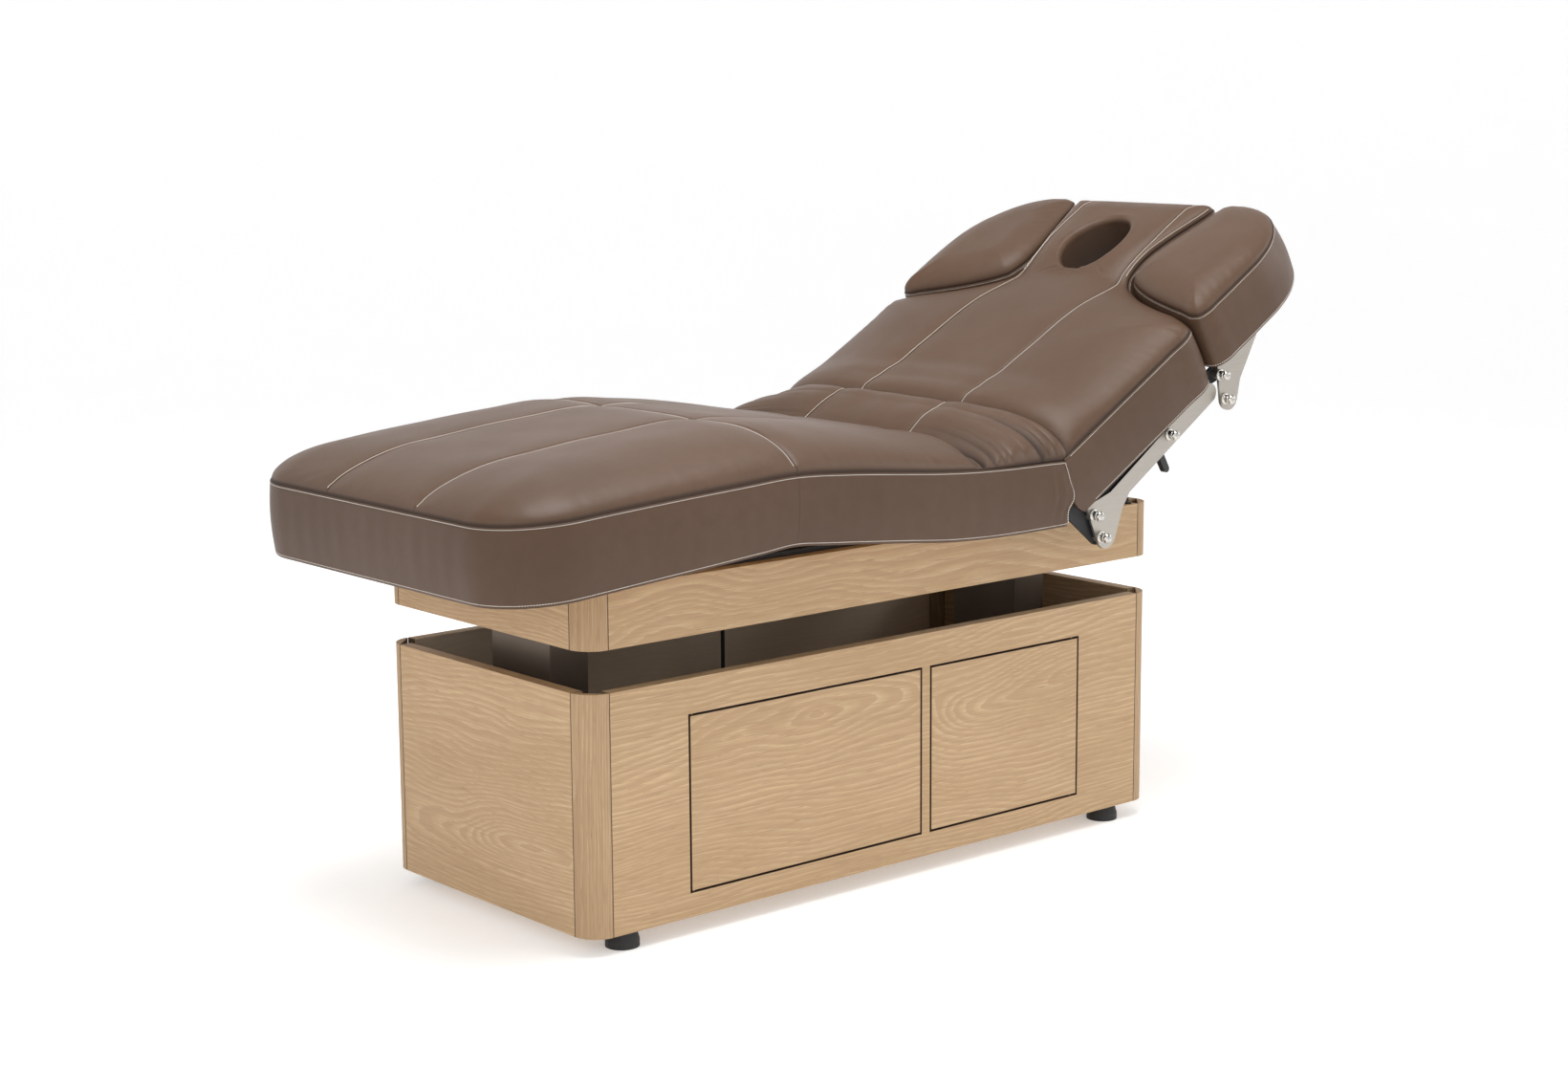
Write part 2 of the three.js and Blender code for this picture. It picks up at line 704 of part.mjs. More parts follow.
// Rubber stops on the frame, under the back when it lies flat
[['near', -1], ['far', 1]].forEach(([name, side]) => {
  const stop = rodZ(stopRadius, cabinetLength - stopInsetX, side * (halfWidth - panelThickness / 2),
    frameTop + jointGap, frameTop + jointGap + stopHeight, boltSides);
  piece(`frame_stop_${name}`, stop, blackRubber);
});

// Piano hinge: the bored leaf and the pinned leaf share one barrel along Y at (0, 0).
// toward is +1 where the leaf lies on the +X side.
function knuckleSpan(index) {
  const pitch = 2 * hingeHalfWidth / knuckleCount;
  const start = index * pitch - hingeHalfWidth;
  return [start + jointGap, start + pitch - jointGap];
}

function hingeLeaf(toward, pinned) {
  const z1 = knuckleRadius;
  const z0 = z1 - hingeLeafThickness;
  const clearX = toward * (knuckleRadius + sectionGap);
  const farX = toward * hingeLeafLength;
  const low = Math.min(clearX, farX);
  const high = Math.max(clearX, farX);
  let leaf = block(low, high, -hingeHalfWidth, hingeHalfWidth, z0, z1);
  for (let index = pinned ? 1 : 0; index < knuckleCount; index += 2) {
    const [y0, y1] = knuckleSpan(index);
    const tab = block(Math.min(0, toward * hingeLeafLength / 2), Math.max(0, toward * hingeLeafLength / 2), y0, y1, z0, z1);
    leaf = join(leaf, rodY(knuckleRadius, 0, 0, y0, y1, boltSides), tab);
  }
  if (pinned) return leaf.add(rodY(hingePinRadius, 0, 0, -hingeHalfWidth, hingeHalfWidth, boltSides));
  return leaf.subtract(rodY(hingePinRadius + jointGap, 0, 0, -hingeHalfWidth - overrun, hingeHalfWidth + overrun, boltSides));
}

// Seat
const seat = new THREE.Group();
seat.position.set(thighHingeX, 0, hingeZ);
root.add(seat);
const hemUp = hemZ - hingeZ;
const deckUp = deckBottom - hingeZ;
const pivotX = backPivotX - thighHingeX;
const pivotUp = pivotZ - hingeZ;
const backClear = rollRadius + sectionGap;

// The seat's upper corner at the crease: where the back's top face comes to at its highest
const maxAngle = degrees(backMax);
const creaseX = pivotX - backClear * Math.sin(maxAngle) + (rollRadius - backClear * Math.cos(maxAngle)) / Math.tan(maxAngle);
const creaseAlong = (rollRadius - backClear * Math.cos(maxAngle)) / Math.sin(maxAngle);

function creaseRise(distance, crown) {
  return crown * (1 - Math.exp(-creaseSlope * Math.max(0, distance) / crown));
}

const seatDeckEnd = pivotX - backClear - jointGap;
const bracketStart = seatDeckEnd - deckThickness - bracketReach * 2;

function seatCushion() {
  const seam = hemUp + sectionThickness;
  const base = { left: -cushionHalfWidth, right: cushionHalfWidth, hem: hemUp, seam };
  const run = creaseX - sectionGap;
  const stations = seatShares.map((share) => {
    const x = sectionGap + run * share;
    return { ...base, x, crown: creaseRise(creaseX - x, seatCrown) };
  });
  stations.push({ ...base, x: pivotX, crown: 0 });
  const body = loft(stations);
  const roll = rodY(backClear, pivotX, pivotUp, -cushionHalfWidth - overrun, cushionHalfWidth + overrun, 2 * roundSides);
  const tangentX = pivotX - backClear * Math.sin(maxAngle);
  const tangentZ = pivotUp + backClear * Math.cos(maxAngle);
  const topZ = seam + mattressCrown;
  const wedge = outline([[pivotX + rollRadius, hemUp - overrun], [pivotX + rollRadius, topZ],
    [tangentX + (topZ - tangentZ) / Math.tan(maxAngle), topZ], [tangentX, tangentZ], [pivotX, pivotUp],
    [pivotX, hemUp - overrun]]);
  const pocket = block(-overrun, pivotX, -pocketY, pocketY, hemUp - overrun, deckUp + deckThickness + jointGap);
  const slots = [-1, 1].map((side) => block(bracketStart - jointGap, pivotX,
    Math.min(side * hingeSlotNear, side * hingeSlotFar), Math.max(side * hingeSlotNear, side * hingeSlotFar),
    hemUp, pivotUp));
  return cut(body, roll, plate(wedge, -cushionHalfWidth - overrun, cushionHalfWidth + overrun), pocket, ...slots);
}

piece('seat_cushion', seatCushion(), leather, seat);
piece('seat_deck', block(sectionGap, seatDeckEnd, -deckEdge, deckEdge, deckUp, deckUp + deckThickness), plywood, seat);
piece('seat_hinge_leaf', hingeLeaf(1, false), frameSteel, seat);

// Seat brackets: plates on the deck's edges that reach up to the back's pivot pins
function seatBracket(side) {
  const deckMid = deckUp + deckThickness / 2;
  const low = deckThickness / 2;
  const deckCorner = [seatDeckEnd - low, deckMid, low];
  const shapes = [belt([[pivotX, pivotUp, pivotLobe], deckCorner]), belt([[bracketStart + low, deckMid, low], deckCorner])];
  const arms = shapes.map((shape) => sidePlate(shape, side, bracketPlane, bracketPlane + plateThickness));
  const pin = sideRod(pivotRadius, pivotX, pivotUp, side, bracketPlane + plateThickness - overrun,
    armPlane + plateThickness + overrun);
  return join(...arms, pin);
}

piece('seat_bracket_near', seatBracket(-1), brushed, seat);
piece('seat_bracket_far', seatBracket(1), brushed, seat);

// Thigh section, hinged at the seat: it runs towards -X and lifts at the knee
const thigh = new THREE.Group();
thigh.rotation.y = degrees(thighRest);
seat.add(thigh);
const leanToSeat = Math.tan(degrees(thighMax));

function kneeDip(distance) {
  return kneeChannelDepth * THREE.MathUtils.clamp(1 - distance / kneeChannelRun, 0, 1);
}

function thighCushion() {
  const base = { left: -cushionHalfWidth, right: cushionHalfWidth, hem: hemUp, seam: hemUp + sectionThickness };
  const end = thighLength - sectionGap / 2;
  const stations = thighShares.map((share) => ({ ...base, x: -end * share,
    crown: mattressCrown - kneeDip(end * (1 - share)) - (mattressCrown - seatCrown) * (1 - share) }));
  stations.push({ ...base, x: -sectionGap, lean: -leanToSeat, crown: seatCrown });
  const pocket = block(-thighLength - overrun, overrun, -pocketY, pocketY, hemUp - overrun,
    deckUp + deckThickness + jointGap);
  return cut(loft(stations), pocket);
}

const deckTopUp = deckUp + deckThickness;
const thighDeckStart = sectionGap + deckTopUp * leanToSeat;
piece('thigh_cushion', thighCushion(), leather, thigh);
piece('thigh_deck', block(-thighLength + sectionGap, -thighDeckStart, -pocketY + jointGap, pocketY - jointGap,
  deckUp, deckTopUp), plywood, thigh);
piece('thigh_hinge_leaf', hingeLeaf(-1, true), frameSteel, thigh);

// A bracket under a deck, whose ears stand beside an eye with no pin, where a closed
// linkage is left open
function openEars(x, z, y, deckZ) {
  const inner = eyeHalfWidth + overrun;
  const outer = inner + lugThickness;
  const top = deckZ - jointGap;
  const foot = lugRadius * 2;
  const ear = outline([[x - lugRadius, z], [x + lugRadius, z], [x + foot, top], [x - foot, top]]);
  const round = rodY(lugRadius, x, z, y - outer, y + outer, roundSides);
  const gap = block(x - foot, x + foot, y - inner, y + inner, z - foot, top - lugThickness);
  const ears = join(plate(ear, y - outer, y + outer), round);
  const base = block(x - foot, x + foot, y - outer, y + outer, top - lugThickness, top);
  return cut(join(ears, base), gap);
}

piece('thigh_lug', openEars(actuatorLugX, actuatorLugZ, actuatorY, deckUp), frameSteel, thigh);

// Leg section, hinged to the thigh section at the knee
const knee = new THREE.Group();
knee.position.x = -thighLength;
knee.rotation.y = degrees(-thighRest - legRest);
thigh.add(knee);

function legHalfWidth(distance, radius, half) {
  const into = Math.min(distance, radius);
  return half - radius + Math.sqrt(radius * radius - (radius - into) * (radius - into));
}

function legCushion() {
  const seamAt = (distance) => hemUp + legEndThickness + (sectionThickness - legEndThickness) * distance / legLength;
  const distances = [...footShares.map((share) => crownRun * share),
    ...legShares.map((share) => crownRun + (legLength - crownRun) * share),
    legLength - kneeChannelRun, legLength - sectionGap / 2];
  const stations = distances.map((distance) => {
    const half = legHalfWidth(distance, footCornerRadius, cushionHalfWidth);
    const crown = mattressCrown * shoulderRise(distance, crownRun) - kneeDip(legLength - distance);
    return { x: distance - legLength, left: -half, right: half, hem: hemUp, seam: seamAt(distance), crown };
  });
  return cut(loft(stations), slab(legOutline(0), hemUp - overrun, deckTopUp + jointGap));
}

// The leg deck's outline, drawn in from the skirt by a gap, open at the knee
function legOutline(inset) {
  const y = pocketY - inset;
  const x0 = skirtThickness + inset - legLength;
  const r = footCornerRadius - skirtThickness - inset;
  const end = inset > 0 ? -sectionGap : overrun;
  const shape = new THREE.Shape();
  shape.moveTo(end, -y);
  shape.lineTo(end, y);
  shape.absarc(x0 + r, y - r, r, degrees(quarterTurn), degrees(2 * quarterTurn), false);
  shape.absarc(x0 + r, r - y, r, degrees(2 * quarterTurn), degrees(3 * quarterTurn), false);
  shape.closePath();
  return shape;
}

piece('leg_cushion', legCushion(), leather, knee);
piece('leg_deck', slab(legOutline(jointGap), deckUp, deckTopUp), plywood, knee);
piece('leg_hinge_leaf', hingeLeaf(-1, true), frameSteel, knee);
const kneeLeaf = piece('thigh_knee_leaf', hingeLeaf(1, false), frameSteel, thigh);
kneeLeaf.position.x = -thighLength;

// Back section, along its slope from the pivot
const back = new THREE.Group();
back.position.set(backPivotX, 0, pivotZ);
back.rotation.y = degrees(-backRest);
root.add(back);
const backHem = -rollRadius;
const backDeckLow = backHem + deckDrop;
const backDeckHigh = backDeckLow + deckThickness;

function backCushion() {
  const base = { hem: backHem, seam: rollRadius };
  const wide = { ...base, left: -cushionHalfWidth, right: cushionHalfWidth };
  const straight = [0, creaseAlong, ...backRollShares.map((share) => share * rollRadius)];
  const crownAt = (x) => {
    const fade = THREE.MathUtils.clamp(x / neckEnd, 0, 1);
    return creaseRise(x - creaseAlong, backCrown) * (1 - fade * fade) + neckCrown * fade * fade;
  };
  const stations = straight.map((x) => ({ ...wide, x, crown: x > creaseAlong ? crownAt(x) : 0 }));
  shoulderShares.forEach(([along, across]) => {
    const x = shoulderStart + (neckEnd - shoulderStart) * along;
    const half = cushionHalfWidth * across;
    stations.push({ ...base, x, left: -half, right: half, crown: crownAt(x) });
  });
  stations.push({ ...base, x: neckEnd, left: -neckHalfWidth, right: neckHalfWidth, crown: neckCrown });
  const rollHalf = cushionHalfWidth - overrun;
  const roll = rodY(rollRadius, 0, 0, -rollHalf, rollHalf, 2 * roundSides);
  const pocket = slab(backOutline(0), backHem - overrun, backDeckHigh + jointGap);
  const rollTrim = cut(block(-rollRadius - overrun, overrun, -pocketY, pocketY, -rollRadius - overrun, 0),
    rodY(rollRadius - deckDrop, 0, 0, -cushionHalfWidth, cushionHalfWidth, 2 * roundSides));
  const slots = [-1, 1].map((side) => block(-rollRadius - overrun, hingeSlotRun,
    Math.min(side * hingeSlotNear, side * hingeSlotFar), Math.max(side * hingeSlotNear, side * hingeSlotFar),
    backHem - overrun, hingeSlotTop));
  const lugTop = headPivotZ + armLobe + jointGap;
  const lugs = [-1, 1].map((side) => sidePlate(outline([[shoulderStart - skirtThickness * 2, backHem - overrun],
    [headPivotX + armLobe + jointGap, backHem - overrun], [headPivotX + armLobe + jointGap, lugTop],
    [shoulderStart - skirtThickness * 2, lugTop]]), side, armPlane - plateGap, armPlane + plateThickness + plateGap));
  return cut(join(loft(stations), roll), pocket, rollTrim, ...slots, ...lugs);
}

// The back deck's outline: full width to the shoulders, then a tongue under the neck
function backOutline(inset) {
  const y = (inset > 0 ? armPlane - jointGap : pocketY);
  const shoulder = shoulderStart - skirtThickness - inset;
  const tongue = neckEnd - skirtThickness - inset;
  const tongueY = neckHalfWidth - skirtThickness * 2 - inset;
  const start = inset > 0 ? overrun : 0;
  return outline([[start, -y], [shoulder, -y], [tongue, -tongueY], [tongue, tongueY], [shoulder, y], [start, y]]);
}

piece('back_cushion', backCushion(), leather, back);
piece('back_deck', slab(backOutline(jointGap), backDeckLow, backDeckHigh), plywood, back);

// Side frames of the back: a hinge arm, an angle under the deck's edge and lugs for the bolts
function sideFrame(side) {
  const flangeTop = backDeckLow - jointGap;
  const flangeLow = flangeTop - plateThickness;
  const frameEndX = shoulderStart - skirtThickness * 2;
  const outer = armPlane + plateThickness;
  const arm = belt([[0, 0, pivotLobe], [lowerBoltX, lowerBoltZ, armLobe], [upperBoltX, upperBoltZ, armLobe]]);
  const strip = outline([[pivotLobe, flangeLow], [frameEndX, flangeLow], [frameEndX, backDeckHigh],
    [pivotLobe, backDeckHigh]]);
  const midLug = belt([[midBoltX, midBoltZ, armLobe], [midBoltX + armLobe, flangeTop, overrun],
    [midBoltX - armLobe, flangeTop, overrun]]);
  const headLug = belt([[headPivotX, headPivotZ, armLobe], [frameEndX, backDeckLow, overrun],
    [frameEndX - armLobe, flangeLow, overrun]]);
  const bodies = [arm, strip, midLug, headLug].map((shape) => sidePlate(shape, side, armPlane, outer));
  const flange = block(pivotLobe, frameEndX, Math.min(side * leverPlane, side * outer),
    Math.max(side * leverPlane, side * outer), flangeLow, flangeTop);
  bodies.push(flange);
  if (side < 0) {
    const ear = belt([[leverX, leverZ, lugRadius], [leverX + lugRadius, flangeTop - overrun, overrun],
      [leverX - lugRadius, flangeTop - overrun, overrun]]);
    bodies.push(sidePlate(ear, side, leverPlane, leverPlane + plateThickness));
    bodies.push(sideRod(eyePinRadius, leverX, leverZ, side, leverPlane + overrun,
      leverPlane + plateThickness + jointGap + leverWidth));
  }
  const holes = [[upperBoltX, upperBoltZ], [lowerBoltX, lowerBoltZ], [midBoltX, midBoltZ],
    [headPivotX, headPivotZ]].map(([x, z]) => sideRod(boltRadius + boltClearance, x, z, side,
    armPlane - overrun, outer + overrun, boltSides));
  const pinHole = sideRod(pivotRadius + jointGap, 0, 0, side, armPlane - overrun, outer + overrun);
  return cut(join(...bodies), ...holes, pinHole);
}

piece('back_side_frame_near', sideFrame(-1), frameSteel, back);
piece('back_side_frame_far', sideFrame(1), frameSteel, back);

// A through bolt: shank, spacer behind the plate, washer, stand-off and domed cap outside
function standoffBolt(x, z, side, plane, shankStart) {
  const outer = plane + plateThickness;
  const bodies = [sideRod(boltRadius, x, z, side, shankStart, outer + overrun, boltSides),
    sideRod(washerRadius, x, z, side, outer - overrun, outer + washerThickness, boltSides),
    sideRod(standoffRadius, x, z, side, outer, outer + washerThickness + standoffLength, boltSides)];
  const capStart = outer + washerThickness + standoffLength;
  const [farRadius, nearRadius] = side > 0 ? [capTopRadius, capRadius] : [capRadius, capTopRadius];
  const dome = new THREE.CylinderGeometry(farRadius, nearRadius, capLength, boltSides);
  bodies.push(solid(dome.translate(x, side * (capStart + capLength / 2 - plateGap), z)));
  return join(...bodies);
}

// Side bars of the back: the slim bar flares at its lower end into a lobed plate
function sideBar(side) {
  const outer = barPlane + plateThickness;
  const shapes = [belt([barHead, barWaist]), belt([barWaist, barFlare]), belt([barFlare, barTopCorner, barLobe])];
  const bodies = shapes.map((shape) => sidePlate(shape, side, barPlane, outer));
  [[upperBoltX, upperBoltZ], [lowerBoltX, lowerBoltZ], [midBoltX, midBoltZ]].forEach(([x, z]) => {
    bodies.push(sideRod(washerRadius, x, z, side, armPlane + plateThickness + plateGap, barPlane + overrun, boltSides));
    bodies.push(standoffBolt(x, z, side, barPlane, armPlane));
  });
  return join(...bodies);
}

piece('side_bar_near', sideBar(-1), brushed, back);
piece('side_bar_far', sideBar(1), brushed, back);
piece('back_lug', openEars(springLugX, springLugZ, springY, backDeckLow), frameSteel, back);

// Release lever of the gas spring
const lever = new THREE.Group();
lever.position.set(leverX, 0, leverZ);
back.add(lever);

function releaseLever() {
  const inner = leverPlane + plateThickness + jointGap;
  const shape = belt([[0, 0, leverRadius], [0, -leverReach, leverTipRadius]]);
  const blank = plate(shape, -inner - leverWidth, -inner);
  return blank.subtract(rodY(eyePinRadius + jointGap, 0, 0, -inner - leverWidth - overrun, -inner + overrun));
}

piece('release_lever', releaseLever(), blackPlastic, lever);

// Head section: head cushion with the face hole, two arm rests and the board that carries them
const head = new THREE.Group();
back.add(head);
const boardLow = headHem + deckDrop;
const boardHigh = boardLow + deckThickness;
const armPocketY = armOuter - armSkirt;

function ellipseTool(grow, z0, z1, flare = 0) {
  const tool = new THREE.CylinderGeometry(1 + flare, 1, z1 - z0, roundSides);
  tool.rotateX(degrees(quarterTurn)).scale(holeHalfLength + grow, holeHalfWidth + grow, 1);
  return solid(tool.translate(holeCentreX, 0, (z0 + z1) / 2));
}

function headCushion() {
  const span = headEnd - headStart;
  const seamAt = (along) => rollRadius + (headSeam - rollRadius) * Math.min(1, along / headSeamShare);
  const crownAt = (x) => Math.min(headCrown, neckCrown) * shoulderRise(headEnd - x, headCrownRun);
  const stations = headWidthShares.map(([along, across]) => {
    const x = headStart + span * along;
    const half = headEndHalfWidth * across;
    return { x, left: -half, right: half, hem: headHem, seam: seamAt(along), crown: crownAt(x) };
  });
  const cornerStart = headEnd - headCornerRadius;
  headCornerShares.forEach((share) => {
    const x = cornerStart + headCornerRadius * share;
    const half = headEndHalfWidth - headCornerRadius + headCornerRadius * Math.sqrt(1 - share * share);
    stations.push({ x, left: -half, right: half, hem: headHem, seam: headSeam, crown: crownAt(x) });
  });
  const top = headSeam + headCrown;
  const pocket = slab(boardOutline(jointGap, jointGap), headHem - overrun, boardHigh + jointGap);
  const hole = ellipseTool(0, headHem - overrun, top + overrun);
  const rim = ellipseTool(0, top - holeRim * 2, top + overrun, holeRim / holeHalfWidth);
  return cut(loft(stations), pocket, hole, rim);
}

// An arm rest in its own outline: inner edge near the head cushion, outer edge at the side
function armStations(side) {
  const cornerX = armEnd - armCornerRadius;
  const inner = (x) => armInnerStart + (armInnerEnd - armInnerStart) * (x - armNeckX) / (armEnd - armNeckX);
  const rows = armLowerShares.map(([along, low, high]) => [armStart + (armNeckX - armStart) * along,
    armOuter * low, armOuter * high]);
  rows.push([armNeckX, armInnerStart, armOuter], [(armNeckX + cornerX) / 2, inner((armNeckX + cornerX) / 2), armOuter],
    [cornerX, inner(cornerX), armOuter]);
  armCornerShares.forEach((share) => {
    const x = cornerX + armCornerRadius * share;
    const outer = armOuter - armCornerRadius + armCornerRadius * Math.sqrt(1 - share * share);
    rows.push([x, inner(x), outer]);
  });
  rows.push([armEnd, armInnerEnd + armInnerCorner / 2, armOuter - armCornerRadius - overrun]);
  return rows.map(([x, low, high]) => {
    const fromEnd = Math.min(x - armStart, armEnd - x);
    const crown = armCrown * shoulderRise(fromEnd, armCrownRun);
    const edges = side > 0 ? { left: low, right: high } : { left: -high, right: -low };
    return { x, ...edges, hem: headHem, seam: headSeam, crown, channels: false };
  });
}

// The board under the arm rests and the head cushion, with the face hole
function boardOutline(slack, sideSlack) {
  const y = headPlatePlane - plateGap + sideSlack;
  const low = armNeckX + skirtThickness - slack;
  const high = headEnd - skirtThickness + slack;
  const wing = headPivotX + skirtThickness * 2 - slack;
  const tongueY = armInnerStart + skirtThickness;
  const shape = new THREE.Shape();
  shape.moveTo(low, -tongueY);
  shape.lineTo(wing, -y);
  shape.lineTo(high - armCornerRadius / 2, -y);
  shape.lineTo(high, -y + armCornerRadius / 2);
  shape.lineTo(high, y - armCornerRadius / 2);
  shape.lineTo(high - armCornerRadius / 2, y);
  shape.lineTo(wing, y);
  shape.lineTo(low, tongueY);
  shape.closePath();
  return shape;
}

function armCushion(side) {
  const pocketTop = boardHigh + jointGap;
  const pocket = slab(boardOutline(jointGap, jointGap), headHem - overrun, pocketTop);
  const slot = block(armStart - overrun, plateTop[0] + pivotLobe, Math.min(side * (headPlatePlane - plateGap), side * armPocketY),
    Math.max(side * (headPlatePlane - plateGap), side * armPocketY), headHem - overrun, pocketTop);
  return cut(loft(armStations(side)), pocket, slot);
}

piece('head_cushion', headCushion(), leather, head);
piece('head_board', cut(slab(boardOutline(0, 0), boardLow, boardHigh), ellipseTool(overrun, boardLow - overrun,
  boardHigh + overrun)), plywood, head);
piece('arm_rest_near', armCushion(-1), leather, head);
piece('arm_rest_far', armCushion(1), leather, head);

// Head plates: the lobed plates that turn on the upper bolts and hold the board's edges
function headPlate(side) {
  const outer = headPlatePlane + plateThickness;
  const shapes = [belt([plateLobe, plateBulge, plateHeel]), belt([plateBulge, plateTop, plateHeel])];
  const bodies = shapes.map((shape) => sidePlate(shape, side, headPlatePlane, outer));
  bodies.push(standoffBolt(headPivotX, headPivotZ, side, headPlatePlane, armPlane));
  bodies.push(sideRod(standoffRadius, headPivotX, headPivotZ, side, armPlane + plateThickness + plateGap,
    headPlatePlane + overrun, boltSides));
  bodies.push(standoffBolt(headBoltX, headBoltZ, side, headPlatePlane, headPlatePlane + overrun));
  return join(...bodies);
}

piece('head_plate_near', headPlate(-1), brushed, head);
piece('head_plate_far', headPlate(1), brushed, head);

// Gas spring of the back and actuator of the thigh: a tube with an eye, and a rod with an eye
function strutTube(radius, length) {
  const start = lugRadius + overrun;
  const tube = rodX(radius, 0, 0, start, length);
  const neck = block(0, start + overrun, -eyeHalfWidth, eyeHalfWidth, -eyeHalfWidth, eyeHalfWidth);
  const eye = rodY(eyeRadius, 0, 0, -eyeHalfWidth, eyeHalfWidth);
  return join(tube, neck, eye);
}

function springTube(radius, rodRadius, length) {
  const pinHole = rodY(eyePinRadius + jointGap, 0, 0, -eyeRadius, eyeRadius);
  const bore = rodX(rodRadius + jointGap, 0, 0, lugRadius * 2, length + overrun);
  return cut(strutTube(radius, length), pinHole, bore);
}

function springRod(rodRadius, start, end) {
  const rod = rodX(rodRadius, 0, 0, start, end - eyeRadius + overrun);
  const eye = rodY(eyeRadius, end, 0, -eyeHalfWidth, eyeHalfWidth);
  return cut(join(rod, eye), rodY(eyePinRadius + jointGap, end, 0, -eyeRadius, eyeRadius));
}

// A strut from a base eye to an upper eye, both places in the root frame at rest
function strut(name, base, tip, y, tubeRadius, rodRadius, tubeLength, finish) {
  const group = new THREE.Group();
  const length = Math.hypot(tip[0] - base[0], tip[1] - base[1]);
  group.position.set(base[0], y, base[1]);
  group.rotation.y = -Math.atan2(tip[1] - base[1], tip[0] - base[0]);
  root.add(group);
  piece(`${name}_tube`, springTube(tubeRadius, rodRadius, tubeLength), finish, group);
  piece(`${name}_rod`, springRod(rodRadius, tubeLength - rodRadius * 10, length), brushed, group);
}

const slope = degrees(backRest);
const springTip = [backPivotX + springLugX * Math.cos(slope) - springLugZ * Math.sin(slope),
  pivotZ + springLugX * Math.sin(slope) + springLugZ * Math.cos(slope)];
strut('gas_spring', [springBaseX, springBaseZ], springTip, springY, springTubeRadius, springRodRadius,
  springTubeLength, frameSteel);
const lift = degrees(thighRest);
const actuatorTip = [thighHingeX + actuatorLugX * Math.cos(lift) + actuatorLugZ * Math.sin(lift),
  hingeZ - actuatorLugX * Math.sin(lift) + actuatorLugZ * Math.cos(lift)];
strut('thigh_actuator', [actuatorBaseX, actuatorBaseZ], actuatorTip, actuatorY, actuatorTubeRadius,
  actuatorRodRadius, actuatorTubeLength, frameSteel);

// The origin is at the middle of the whole table's box on the floor
table.updateMatrixWorld(true);
const box = new THREE.Box3().setFromObject(table, true);
root.position.x = -(box.min.x + box.max.x) / 2;

export default table;
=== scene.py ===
# %% [markdown]
# # A spa table, from its bare solids to its picture
#
# The solids of the table come from a CAD part: an oak cabinet with two doors, an upper frame on
# two lift columns, and a mattress in jointed sections. This lesson gives them their looks. The
# rigid pieces keep their solids and get softened edges and a finish. The cushions get new leather
# covers, because a stuffed cover has crowns, seams and folds that a plain solid doesn't have.

# %% The frame
import bmesh
import bpy
import json
import math
import numpy as np
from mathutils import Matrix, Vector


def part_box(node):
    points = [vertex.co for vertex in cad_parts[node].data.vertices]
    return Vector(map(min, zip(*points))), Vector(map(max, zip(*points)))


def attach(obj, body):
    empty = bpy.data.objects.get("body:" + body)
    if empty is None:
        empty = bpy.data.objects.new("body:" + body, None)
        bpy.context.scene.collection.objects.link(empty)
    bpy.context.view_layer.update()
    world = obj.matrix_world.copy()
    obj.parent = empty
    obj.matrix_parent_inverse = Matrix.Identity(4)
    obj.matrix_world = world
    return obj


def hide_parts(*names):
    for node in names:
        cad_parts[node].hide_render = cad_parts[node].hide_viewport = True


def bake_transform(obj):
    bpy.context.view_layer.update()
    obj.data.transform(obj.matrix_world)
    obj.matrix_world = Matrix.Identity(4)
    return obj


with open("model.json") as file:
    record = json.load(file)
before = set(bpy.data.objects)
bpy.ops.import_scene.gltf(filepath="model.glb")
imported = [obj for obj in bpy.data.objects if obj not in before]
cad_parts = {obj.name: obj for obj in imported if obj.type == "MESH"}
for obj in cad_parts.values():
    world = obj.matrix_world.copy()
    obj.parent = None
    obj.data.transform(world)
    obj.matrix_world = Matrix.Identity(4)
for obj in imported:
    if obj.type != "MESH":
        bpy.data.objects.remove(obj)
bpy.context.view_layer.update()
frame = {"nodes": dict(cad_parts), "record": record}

print("pieces in the frame:", len(frame["nodes"]))

# %% [markdown]
# ## Places
#
# An upholsterer measures from the edges of the table, so the shapes here are written in
# millimetres along the bench: x from the cabinet's foot end, y from the middle line with the
# doors on the minus side, z from the floor. The back section leans, so its covers are written
# along its own slope and turned into place at the end.

# %% Two rulers
FOOT_FACE = -0.7646
BACK_PIVOT = (1015.6, 697.0)
BACK_SLOPE = math.radians(31)


def bench(x, y, z):
    """Millimetres on the bench become metres in the frame, and x moves by the foot face."""
    x, y, z = np.broadcast_arrays(x, y, z)
    return np.stack([x / 1000 + FOOT_FACE, y / 1000, z / 1000], axis=-1)


def slope(along, across, up):
    """The back's own directions: along and up both turn by the slope's angle."""
    c, s = math.cos(BACK_SLOPE), math.sin(BACK_SLOPE)
    return bench(BACK_PIVOT[0] + along * c - up * s, across, BACK_PIVOT[1] + along * s + up * c)


print("back pivot in the frame:", bench(BACK_PIVOT[0], 0, BACK_PIVOT[1]))

# %% [markdown]
# ## Curves and crowns
#
# Seams, hems and outlines are read off at a few stops and joined by soft curves. A stuffed
# cushion stands upright at its seam and lies flat in the middle, much like a quarter of an
# ellipse, so its height follows the distance to the nearest seam. That one rule shapes straight
# sides, round corners and shoulders alike, which is why it is used instead of sculpting.

# %% Soft curves
def unit(value):
    """The value, held between 0 and 1."""
    return np.clip(value, 0, 1)


